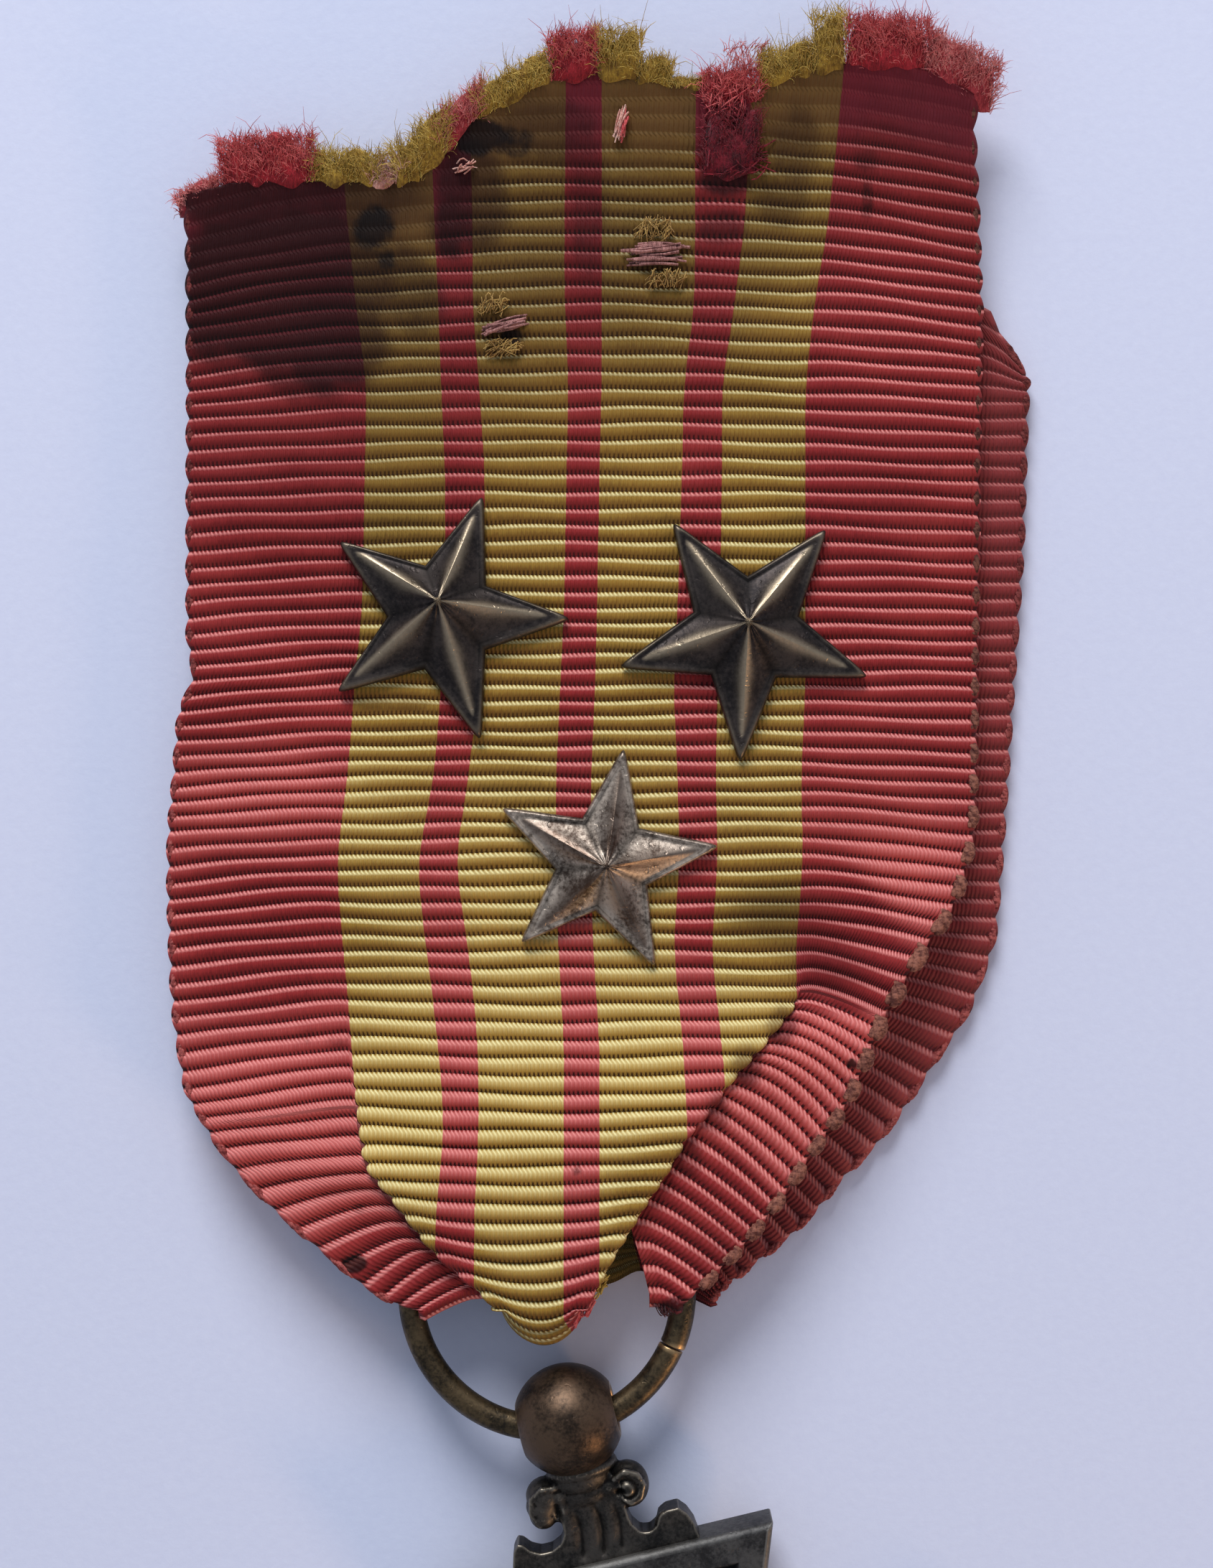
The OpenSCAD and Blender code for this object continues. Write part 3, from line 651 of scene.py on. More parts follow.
# Painted light and shade: spots painted paler where lit and darker where shaded than elsewhere. columns: x,
# y, reach x, reach y, amount
LIT_AND_SHADED_SPOTS = (
    (-18.6, 3.5, 3.5, 2.5, 0.35), (8.6, 8.1, 1.8, 1.1, 0.9), (11.4, 15.8, 2.5, 2.2, 0.35),
    (6.4, 14.3, 3.6, 1.7, -0.7), (8.2, 11.4, 2.4, 1.5, -0.9), (-18.5, 12.5, 5.0, 3.5, -0.35),
    (-18.0, 20.0, 5.0, 2.5, 0.3), (11.0, 33.0, 4.5, 4.0, -0.2), (4.6, 13.8, 3.0, 2.2, -0.5),
    (2.8, -1.6, 2.0, 2.0, -0.6), (1.0, 1.5, 3.5, 2.5, -0.5), (-5.0, -4.8, 3.0, 1.0, -0.5),
    (11.0, 42.5, 4.0, 5.0, 0.55), (-10.0, -1.8, 1.5, 1.6, -0.5), (-13.0, -2.0, 3.0, 2.0, -0.35),
    (14.5, 6.0, 3.0, 6.0, -0.2), (-16.0, 33.0, 9.0, 9.0, -0.40), (11.8, 3.0, 1.5, 2.0, 0.5),
    (-7.0, 44.0, 9.0, 6.0, -0.35),
)


def stains_and_painted_light(x, y):
    """How stained each point is by brown dirt, which in a few spots is painted shade, and by ink, and how
    much painted light or shade it has, paler above 0 and darker below.
    """
    marks = [0 * x, 0 * x]
    for cx, cy, rx, ry, strength, ink in STAINS_AND_SHADES:
        far = np.sqrt(((x - cx) / rx) ** 2 + ((y - cy) / ry) ** 2) + 0.12 * wave(x * 1.6, y * 1.6, 11)
        marks[ink] = np.maximum(marks[ink], strength * (1 - smooth(far, 0.5, 1.15)))
    faded = np.interp(y, *LIGHT.T) + spots(x, y, LIT_AND_SHADED_SPOTS)
    return (*marks, np.clip(faded, -1, 1))


# The cloth's tones. columns: on the red, on the yellow
CLOTH_TONES = dict(
    # painted light on the upper part of each rib and painted shade on its lower part
    upper=((142, 38, 38), (150, 114, 44)),
    lower=((116, 27, 28), (122, 86, 32)),
    patchy=((172, 62, 54), (174, 128, 50)),
    # painted light: the paler tone where the cloth is painted lit
    painted_lit=((196, 74, 66), (206, 160, 66)),
    # painted highlight along the upper, lit edge of each rib
    pale=((238, 148, 140), (246, 230, 166)),
    # painted shade in the grooves between ribs and between yarns
    groove=((44, 8, 12), (54, 30, 8)),
    # the loose weave under the torn edge, darkened as painted shade
    loose=((96, 24, 36), (92, 62, 30)),
    dull=((122, 58, 58), (150, 120, 66)),
)
# What painted shade, brown dirt with some painted shade, and ink multiply the cloth's colour by. columns: on
# the red, on the yellow; INK is for both
SHADE = ((0.50, 0.42, 0.46), (0.34, 0.32, 0.34))
DIRT_AND_SHADE = ((0.17, 0.055, 0.08), (0.30, 0.22, 0.16))
INK = (0.10, 0.06, 0.05)
# Distance from yarn to yarn across the cloth
YARN_PITCH = 0.20


def cloth_paint(name, dull):
    """Ribbed silk: red with yellow stripes, with light and shade painted in. The upper part of each rib is
    painted pale as a highlight, with the yarns as teeth; its lower part and its groove are painted darker as
    shade.
    """
    paint = Paint(name, Specular_IOR_Level=0.16, Sheen_Weight=0.04, Sheen_Roughness=0.45)
    across, along, dirt, ink, faded, loose = (
        paint.attribute(key) for key in ("across", "along", "dirt", "ink", "faded", "loose"))
    yarn = across * (1 / YARN_PITCH) + along.fraction().over(0.35, 0.0) * 0.8
    cell = paint.noise(paint.pair(yarn, along * 0.8), 1.0, 1.0)
    thread = paint.noise(paint.pair(yarn * 1.3, along * 0.9), 1.0, 3.0, 0.75)
    tooth = (((yarn + 0.35 * thread) * (2 * math.pi)).sine() + 1) * 0.5
    woven = (across + 0.06 * (cell - 0.5)) * (0.5 / HALF_WIDTH) + 0.5
    stops = [(place * 0.5 / HALF_WIDTH + 0.5, k % 2) for k, place in enumerate((-HALF_WIDTH, *SEAMS))]
    gold = paint.node("ShaderNodeValToRGB", dict(ramp="CONSTANT", stops=stops), woven)
    dyed = {key: paint.mix(gold, tone(*red), tone(*yellow)) for key, (red, yellow) in CLOTH_TONES.items()}

    # A point's place in its rib: 0 at its upper edge, where the yarns catch the light, 1 at its lower edge
    phase = (along + 0.06 * tooth - 0.03).fraction()
    # The painted highlight along each rib's upper edge, broken into beads by the yarns
    bead = (0.32 + 0.68 * tooth) * (0.62 + 0.6 * thread) * (phase - 0.05 * (1 - tooth)).over(0.0, 0.07)
    bead = bead * (0.75 + 0.5 * paint.noise(paint.pair(across * 1.4, along * 1.3), 1.0, 3.0, 0.6))
    # Where the cloth is painted lit, it is paler and the highlight on each rib is wider
    painted_lit = faded.over(0.0, 0.5)
    thin = (phase - 0.12 * faded + 0.05 * thread).over(0.38, 0.22)
    wide = (phase + 0.08 * thread).over(0.85, 0.10)
    pale_part = (thin + (wide - thin) * painted_lit) * bead * (1 - 0.8 * loose)
    # The painted shade in the groove at a rib's lower edge, with dark notches between the yarns
    notch = tooth.over(0.60, 0.20) * (0.75 + 0.25 * painted_lit)
    dark_part = phase.over(0.86, 1.0) * 0.6 + (phase - 0.06 * painted_lit).over(0.60, 0.82) * notch

    # Painted light on each rib's upper part and painted shade on its lower part
    colour = paint.mix((phase + 0.6 * (thread - 0.5)).over(0.35, 0.7), dyed["upper"], dyed["lower"])
    patch = paint.noise(paint.place(), 0.17, 4.0, 0.6)
    colour = paint.mix(patch.over(0.45, 0.75) * 0.30, colour, dyed["patchy"])
    colour = paint.mix(painted_lit * 0.55, colour, dyed["painted_lit"])
    colour = paint.mix(pale_part, colour, dyed["pale"])
    colour = paint.mix(dark_part.over(0.0, 1.0) * (1 - 0.7 * loose), colour, dyed["groove"])
    # Where the cloth is painted as shaded, its colour is multiplied darker
    colour = paint.mix(faded.over(-0.05, -1.0) * 0.85, colour, paint.mix(gold, *SHADE), "MULTIPLY")
    # The band under the torn edge: loose weave, painted dark as shade
    colour = paint.mix(loose * (0.55 + 0.4 * thread), colour, dyed["loose"])
    grime = paint.noise(paint.place(), 1.1, 5.0, 0.7) - 0.5
    # Brown dirt, with painted shade in a few spots, multiplies the cloth darker
    colour = paint.mix((dirt + grime * 0.35).over(0.02, 0.9), colour, paint.mix(gold, *DIRT_AND_SHADE), "MULTIPLY")
    colour = paint.mix((ink + grime * 0.9).over(0.30, 0.9), colour, INK, "MULTIPLY")
    colour = paint.mix(dull, colour, dyed["dull"])
    return paint.finish(Base_Color=colour, Roughness=0.62 + 0.25 * dark_part,
                        Normal=paint.bump(tooth * 0.45 + thread * 0.55, 0.9, 0.08))


ribbon_paints = dict(ribbon_front=cloth_paint("ribbon_grosgrain", 0.0),
                     ribbon_rear=cloth_paint("ribbon_grosgrain_rear", 0.4))


def ribbon_piece(name, grid):
    points, values, _ = grid
    values["dirt"], values["ink"], values["faded"] = stains_and_painted_light(points[:, :, 0], points[:, :, 1])
    if name == "ribbon_rear":
        # The rear layer is painted a little darker all over
        values["faded"] = np.clip(values["faded"] - 0.2, -1, 1)
        values["loose"] = 0 * values["along"]
    made = piece(name, moved_grid(points, values), ribbon_paints[name])
    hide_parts("ribbon")
    return made


front = front_grid()
rear = rear_grid()
ribbon_front = ribbon_piece("ribbon_front", front)
ribbon_rear = ribbon_piece("ribbon_rear", rear)


# Loose threads: fine tubes along short curved paths
def set_points(spline, points):
    """Gives a new spline its points, an array of places."""
    spline.points.add(len(points) - 1)
    spline.points.foreach_set("co", np.column_stack([points, np.ones(len(points))]).ravel())


def add_curve(name):
    line = bpy.data.curves.new(name, "CURVE")
    holder = bpy.data.objects.new(name, line)
    scene.collection.objects.link(holder)
    return line, holder


def strands(name, paths, material, sides=3):
    """paths holds (points, radius) pairs in millimetres; all become one mesh of thin tubes."""
    turn = np.arange(sides) * 2 * math.pi / sides
    section, outline = add_curve(name + "_section")
    circle = section.splines.new("POLY")
    set_points(circle, np.column_stack([np.cos(turn), np.sin(turn), 0 * turn]))
    circle.use_cyclic_u = True
    line, holder = add_curve(name + "_line")
    line.dimensions = "3D"
    line.bevel_mode = "OBJECT"
    line.bevel_object = outline
    line.use_fill_caps = True
    for points, radius in paths:
        spline = line.splines.new("POLY")
        set_points(spline, points)
        spline.points.foreach_set("radius", np.ones(len(points)) * radius)
    shape = evaluated_shape(holder)
    bpy.data.objects.remove(outline)
    bmesh.ops.recalc_face_normals(shape, faces=shape.faces)
    made = piece(name, shape, material)
    return made


# Selvedge: where the weft turns back, a brown loop of twisted threads closes every two ribs.
# Loop sizes by the grid's edge column, 0 left and -1 right, as rows of height and size
FRONT_RIGHT_LOOPS = {-1: ((-4, 0.28), (6, 0.36), (12, 0.40), (22, 0.24), (40, 0.15))}
FRONT_LEFT_LOOPS = {0: ((0, 0.17),)}
REAR_LOOPS = {0: ((0, 0.13),), -1: ((0, 0.20),)}
LOOP_THREADS = 4


def selvedge(name, face, edges, material):
    chance = np.random.default_rng(7)
    paths = []
    x, up, z, ribs = face
    turn = np.linspace(0, math.pi, 7)[:, None]
    thickness = 0.60 * np.sin(np.linspace(0.3, 2.84, 7)) ** 0.7
    for edge, sizes in edges.items():
        outside = 1 if edge else -1
        for rib in range(1, int(ribs[-1, edge]) - 1, 2):
            first, last = (int(np.argmin(np.abs(ribs[:, edge] - r))) for r in (rib + 0.35, rib + 1.65))
            if ribs[first, edge] > rib + 0.6 or last > FRONT_RIBS * RIB_STEPS - 2:
                continue
            low, high = (np.array([x[r, edge], up[r, edge], z[r, edge] - CLOTH / 4]) for r in (first, last))
            run = high - low
            outward = np.array([-run[1], run[0], 0]) / max(np.linalg.norm(run), 0.1) * outside
            size = float(np.interp(low[1], *zip(*sizes)))
            for k in range(LOOP_THREADS):
                twist = turn * 1.6 + k * 1.57
                path = (low + run * (0.5 - 0.44 * np.cos(turn)) + outward * (0.6 * size * np.sin(turn) - 0.02)
                        + 0.50 * size * (outward * np.sin(twist) + np.array([0, 0, 1]) * np.cos(twist)))
                path = path + chance.normal(0, 0.012, path.shape)
                path[:, 2] = np.maximum(path[:, 2], 0.25)
                paths.append((path, size * thickness))
    return strands(name, paths, material, 6)


def loop_paint(name, dark, light):
    """Brown weft, darker towards the top of the ribbon."""
    paint = Paint(name, Specular_IOR_Level=0.2)
    high = paint.node("ShaderNodeSeparateXYZ", None, paint.place(), out=1).over(14, 36)
    fibre = paint.noise(paint.stretch(paint.place(), 2.0, 4.0, 3.0), 1.4, 4.0, 0.7)
    weft = paint.mix(fibre.over(0.35, 0.65), tone(*dark), tone(*light))
    colour = paint.mix(high * 0.8, weft, (0.35, 0.30, 0.30), "MULTIPLY")
    return paint.finish(Base_Color=colour, Roughness=0.8, Normal=paint.bump(fibre, 0.9, 0.08))


brown_loops = loop_paint("weft_loops", (84, 44, 38), (154, 98, 80))
dark_loops = loop_paint("weft_loops_dark", (100, 34, 34), (176, 90, 84))
loops = [selvedge("selvedge_front_right", front[-1], FRONT_RIGHT_LOOPS, brown_loops),
         selvedge("selvedge_front_left", front[-1], FRONT_LEFT_LOOPS, dark_loops)]
rear_loops = selvedge("selvedge_rear", rear[-1], REAR_LOOPS, dark_loops)


def yarn_paint(name, dark, light):
    paint = Paint(name, Specular_IOR_Level=0.2, Sheen_Weight=0.12)
    lot = paint.noise(paint.place(), 1.3, 3.0, 0.7)
    fine = paint.noise(paint.stretch(paint.place(), 12.0, 2.5, 6.0), 1.0, 3.0, 0.7)
    colour = paint.mix((lot * 0.5 + fine * 0.5).over(0.36, 0.64), tone(*dark), tone(*light))
    return paint.finish(Base_Color=colour, Roughness=0.75, Normal=paint.bump(fine, 1.0, 0.15))


# The frayed edge. columns: from x y, to x y, length, lean to the right at both ends,
# fibres to a millimetre, colour
TUFTS = (
    (-22.6, 47.1, -20.7, 48.0, 1.0, -0.5, -0.2, 420, "rose"),
    (-20.6, 48.1, -16.3, 48.4, 2.65, -0.04, 0.04, 480, "red"),
    (-16.4, 48.4, -13.2, 48.3, 1.8, -0.1, 0.2, 380, "gold"),
    (-13.7, 48.2, -12.2, 48.3, 1.4, 0.2, 0.4, 300, "pink"),
    (-12.5, 48.3, -11.2, 48.5, 2.2, -0.2, 0.0, 400, "gold"),
    (-11.5, 48.4, -10.0, 49.8, 2.8, -0.1, 0.1, 420, "gold"),
    (-10.4, 49.6, -8.4, 51.6, 1.9, -0.35, 0.1, 460, "rose"),
    (-8.7, 51.2, -5.0, 53.2, 1.6, -0.15, 0.0, 400, "gold"),
    (-5.2, 53.0, -3.0, 53.4, 2.35, -0.12, 0.0, 500, "red"),
    (-3.1, 53.3, -1.1, 53.1, 2.45, 0.0, 0.15, 400, "gold"),
    (-1.3, 53.1, 0.4, 52.8, 1.4, 0.1, 0.25, 340, "gold"),
    (0.3, 52.8, 2.0, 52.8, 0.5, 0.0, 0.2, 240, "gold"),
    (1.8, 51.9, 4.5, 52.1, 1.8, 0.0, 0.15, 420, "red"),
    (2.7, 53.0, 4.3, 53.2, 1.9, 0.1, 0.4, 110, "rose"),
    (1.8, 48.7, 4.4, 48.8, 3.4, 0.05, 0.15, 240, "maroon"),
    (4.4, 52.8, 7.1, 53.3, 1.8, 0.0, 0.1, 400, "gold"),
    (7.0, 53.4, 8.5, 53.5, 3.0, -0.08, 0.0, 440, "gold"),
    (8.5, 53.6, 12.3, 53.4, 2.7, -0.02, 0.05, 500, "red"),
    (12.1, 53.3, 15.3, 51.8, 2.4, 0.08, 0.30, 520, "rose"),
)
# Threads pulled out of the face. columns: x, y, half width, half height, threads, direction,
# how much the direction varies, length, thickness, colour
PULLED = (
    (-0.25, 45.2, 0.4, 0.22, 16, 0.05, 0.05, 2.6, 0.075, "bare"),
    (-0.30, 44.6, 0.4, 0.14, 12, 0.02, 0.05, 2.3, 0.07, "bare"),
    (-0.3, 46.1, 1.1, 0.30, 60, 1.3, 0.6, 0.8, 0.03, "tan"),
    (0.2, 43.8, 1.1, 0.25, 50, 1.2, 0.6, 0.7, 0.03, "tan"),
    (-7.35, 41.7, 0.3, 0.30, 14, 0.25, 0.08, 1.9, 0.07, "bare"),
    (-7.4, 40.6, 0.9, 0.25, 50, 0.5, 0.6, 0.8, 0.03, "tan"),
    (-8.0, 42.6, 0.8, 0.25, 40, 0.9, 0.6, 0.7, 0.03, "tan"),
    (3.0, 50.6, 1.3, 1.3, 90, 0.2, 1.2, 1.1, 0.035, "maroon"),
    (3.6, 49.4, 1.5, 0.8, 50, 0.3, 0.5, 1.4, 0.035, "maroon"),
    (3.0, 52.2, 1.1, 1.0, 70, 1.3, 0.6, 1.0, 0.030, "red"),
    (-1.95, 50.9, 0.22, 0.25, 22, 1.35, 0.15, 1.4, 0.05, "pink"),
    (-1.80, 50.8, 0.12, 0.3, 14, 1.3, 0.15, 1.0, 0.05, "red"),
    (-4.0, -4.40, 0.15, 0.25, 26, 1.05, 0.10, 0.7, 0.06, "red"),
    (-3.35, -3.75, 0.15, 0.4, 26, 1.05, 0.10, 0.9, 0.06, "red"),
    (-2.95, -3.0, 0.3, 0.3, 26, 0.8, 0.2, 0.7, 0.05, "gold"),
    (0.1, -4.0, 0.5, 0.25, 50, 1.9, 0.3, 0.5, 0.04, "dark"),
    (-9.2, 49.0, 0.5, 0.2, 10, 0.3, 0.3, 0.6, 0.035, "pink"),
)
# The fibres start this far below the torn edge, and their roots fill this share of a tuft's length
TUFT_ROOT, TUFT_FILL = 0.35, 0.86
# A tuft with fewer fibres to a millimetre has no mass under it, and this share of the fibres is long
THIN_TUFT, LONG_FIBRES = 120, 0.03


def height_at(y):
    """Height of the ribbon's face at a height up the ribbon."""
    return float(follow(FRONT, MIDDLE_FACE, np.array([float(y)]))[0])


def tuft_cores():
    """A soft lumpy mass under the fibres of each tuft, by colour."""
    masses = {}
    for k, (x0, y0, x1, y1, length, lean0, lean1, density, colour) in enumerate(TUFTS):
        if density < THIN_TUFT:
            continue
        width = abs(x1 - x0)
        share = np.linspace(0, 1, max(8, int(width * 7)))[:, None]
        turn = np.linspace(0, 2 * math.pi, 23)[None, :]
        end = np.sqrt(np.clip(1 - (2 * share - 1) ** 6, 0, 1))
        reach = (0.40 * length + 0.10) * end * (1 + 0.10 * np.sin(share * width * 2.6 + k))
        rise = reach * (1 - np.cos(turn)) - TUFT_ROOT - 0.15 * np.sin(share * width * 3.7 + 2 * k)
        x = x0 + (x1 - x0) * share + (lean0 + (lean1 - lean0) * share) * np.clip(rise, 0, 9) * 0.8
        y = y0 + (y1 - y0) * share + rise
        base = np.array([height_at(v) for v in y.mean(axis=1)])[:, None] - TUFT_ROOT
        z = base + (0.30 + 0.10 * length) * end * np.sin(turn) + 0.06 * length * rise
        z = z + 0.08 * wave(x * 4, y * 2, k) * end
        tuft = moved_grid(np.stack([x + 0 * turn, y + 0 * turn, np.maximum(z, 0.25)], axis=-1), {})
        join(masses.setdefault(colour, bmesh.new()), tuft)
    return masses


def frayed_fibres(chance, made):
    """Adds the bent fibres of the torn edge to made, a list of paths by colour."""
    middles = np.linspace(1 / 6, 5 / 6, 3)
    taper = np.array([1.0, 0.9, 0.7, 0.3])
    for x0, y0, x1, y1, length, lean0, lean1, density, colour in TUFTS:
        fill = TUFT_FILL * length
        for _ in range(int(abs(x1 - x0) * density)):
            share = chance.random()
            root = chance.random() * fill
            depth = root - TUFT_ROOT
            lean = lean0 + (lean1 - lean0) * share
            x = x0 + (x1 - x0) * share + lean * max(depth, 0) * 0.8
            y = y0 + (y1 - y0) * share + depth
            deep = (0.32 + 0.10 * length) * math.sqrt(max(0.0, 1 - (2 * root / fill - 1) ** 2))
            z = height_at(y) - TUFT_ROOT + 0.06 * length * depth + deep * chance.uniform(0.4, 1.1)
            reach = chance.uniform(0.35, 0.8) * (1 + 1.2 * (chance.random() < LONG_FIBRES))
            reach *= min(1, 0.5 + 0.25 * length)
            heading = lean + chance.normal(0, 0.30) + 0.3 * math.sin(x * 4.0 + y0)
            bearing = heading + chance.normal(0, 1.2) * middles
            rise = chance.normal(0.25, 0.3) + chance.normal(0, 0.8) * middles
            runs = np.column_stack([np.sin(bearing), np.cos(bearing), rise]) * reach / 3
            path = np.array([x, y, z]) + np.concatenate([[[0, 0, 0]], np.cumsum(runs, axis=0)])
            path[:, 2] = np.maximum(path[:, 2], 0.3)
            made[colour].append((path, chance.uniform(0.013, 0.026) * taper))


def pulled_threads(chance, made):
    """Adds the threads that are pulled out of the face to made."""
    steps = np.linspace(0, 1, 4)[:, None]
    for x0, y0, half_x, half_y, count, turn, vary, length, thick, colour in PULLED:
        for _ in range(count):
            x = x0 + chance.uniform(-1, 1) * half_x * 0.7
            y = y0 + chance.uniform(-1, 1) * half_y
            z = height_at(y) + chance.uniform(-0.08, 0.14) + 0.10
            if y < 0:
                z = chance.uniform(2.9, 3.7)
            angle = turn + chance.normal(0, vary)
            way = np.array([math.cos(angle), math.sin(angle), 0]) * length * chance.uniform(0.6, 1.1)
            arch = np.array([0, chance.normal(0, 0.08), chance.uniform(0.03, 0.14)]) * (1 + vary)
            path = np.array([x, y, z]) + way * (steps - 0.5) + arch * 4 * steps * (1 - steps)
            made[colour].append((path, thick * chance.uniform(0.75, 1.25) * np.ones(4)))


# Dark and light tone of each yarn, and of the masses under them, which are darker copies of the yarns painted
# as the shade inside the tufts
YARNS = dict(
    red=((192, 42, 54), (250, 128, 124)),
    rose=((208, 80, 84), (248, 160, 152)),
    gold=((176, 136, 44), (240, 208, 108)),
    pink=((200, 122, 106), (250, 206, 188)),
    tan=((140, 98, 44), (208, 170, 96)),
    bare=((110, 64, 58), (196, 138, 130)),
    dark=((40, 10, 16), (90, 30, 36)),
    maroon=((84, 12, 24), (160, 34, 50)),
)
CORES = dict(
    red=((116, 18, 28), (182, 42, 52)),
    rose=((130, 30, 38), (196, 70, 76)),
    gold=((112, 80, 24), (186, 148, 54)),
    pink=((160, 90, 78), (230, 168, 150)),
    maroon=((60, 8, 18), (132, 26, 42)),
)
yarns = {colour: yarn_paint(colour + "_yarn", *tones) for colour, tones in YARNS.items()}
cores = {colour: yarn_paint(colour + "_core", *tones) for colour, tones in CORES.items()}
chance = np.random.default_rng(21)
fibres = {colour: [] for colour in YARNS}
frayed_fibres(chance, fibres)
pulled_threads(chance, fibres)
fray = [strands("fray_" + colour, paths, yarns[colour]) for colour, paths in fibres.items()]
# The masses under the tufts are painted dark as the shade among the fibres
for colour, mass in tuft_cores().items():
    fray.append(piece("tuft_" + colour, mass, cores[colour]))


# Bronze: dark patina in the hollows and bare metal where it is rubbed.
# columns: tone of the patches, of the body, of the rubbed places, roughness, depth of the grain
BRONZES = dict(
    star_bronze=((38, 34, 34), (70, 62, 58), (184, 164, 136), 0.36, 1.0),
    star_rubbed=((66, 54, 46), (188, 172, 156), (78, 58, 46), 0.34, 1.0),
    ring_bronze=((44, 38, 30), (96, 80, 58), (190, 156, 112), 0.32, 1.0),
    ball_bronze=((46, 37, 30), (94, 74, 58), (170, 146, 118), 0.34, 0.6),
    scroll_bronze=((36, 34, 32), (76, 70, 64), (134, 124, 110), 0.36, 0.7),
    cross_bronze=((46, 45, 45), (86, 84, 82), (138, 133, 126), 0.46, 1.1),
)


def bronze_paint(name):
    patch, body, bare, shine, grain = BRONZES[name]
    paint = Paint(name, Metallic=0.88)
    where = paint.place()
    cloud = paint.noise(where, 0.55, 4.0, 0.6)
    speck = paint.noise(where, 5.5, 4.0, 0.65)
    pits = paint.noise(where, 2.6, 2.0, 0.5)
    bright, dark = paint.attribute("rubbed"), paint.attribute("hollow")
    colour = paint.mix((cloud * 0.6 + speck * 0.4).over(0.38, 0.62), tone(*patch), tone(*body))
    colour = paint.mix(dark * 0.85, colour, tone(14, 12, 12))
    colour = paint.mix(bright * (0.55 + 0.45 * speck), colour, tone(*bare))
    rough = shine + 0.22 * cloud + 0.25 * dark - 0.10 * bright
    height = speck * 0.6 + pits.over(0.62, 0.72) * -0.9
    return paint.finish(Base_Color=colour, Roughness=rough, Normal=paint.bump(height, 0.35 * grain, 0.05))


# Stars. columns: x, y, tip radius, direction of the first tip, place of the peak off the middle x y,
# width of the ridge's other colour
STARS = dict(
    star_left=(-10.29, 27.97, 6.20, -0.5, -0.08, 0.70, 0.19),
    star_right=(3.88, 27.32, 6.32, 51.7, 0.07, 0.37, 0.19),
    star_lower=(-2.72, 16.54, 5.60, 8.1, 0.13, -0.15, 0.38),
)
# Each star's metal and its slot
STAR_LOOKS = dict(
    star_left=("star_bronze", "star_bronze"),
    star_right=("star_bronze", "star_bronze"),
    star_lower=("star_rubbed", "star_bright"),
)
# Height of the rim's underside, waist as a share of the tip's radius, and how sharp a tip is
STAR_BASE, STAR_WAIST, TIP_POWER = 2.25, 0.41, 14
STAR_ARM = math.radians(72)
# Share of the way to the edge where the facets end in a groove, and the middle of the rim round it
FACET_END, RIM_AT = 0.87, 0.95
# The star from its peak to its rim and under it. columns: share of the way to the edge, height.
# The first rows, as many as STAR_FACE_ROWS, are its face
STAR_FACE_ROWS = 21
STAR_SECTION = (
    (0.0, 1.90), (0.03, 1.88), (0.07, 1.80), (0.13, 1.66), (0.20, 1.52), (0.28, 1.36), (0.36, 1.20),
    (0.44, 1.05), (0.52, 0.91), (0.60, 0.78), (0.67, 0.67), (0.74, 0.57), (0.80, 0.50), (0.845, 0.455),
    (0.87, 0.435), (0.895, 0.43), (0.915, 0.44), (0.94, 0.44), (0.965, 0.40), (0.985, 0.32), (0.997, 0.20),
    (1.0, 0.10), (0.985, 0.02), (0.95, 0.0), (0.90, 0.0), (0.85, 0.06), (0.5, 0.14), (0.0, 0.18),
)


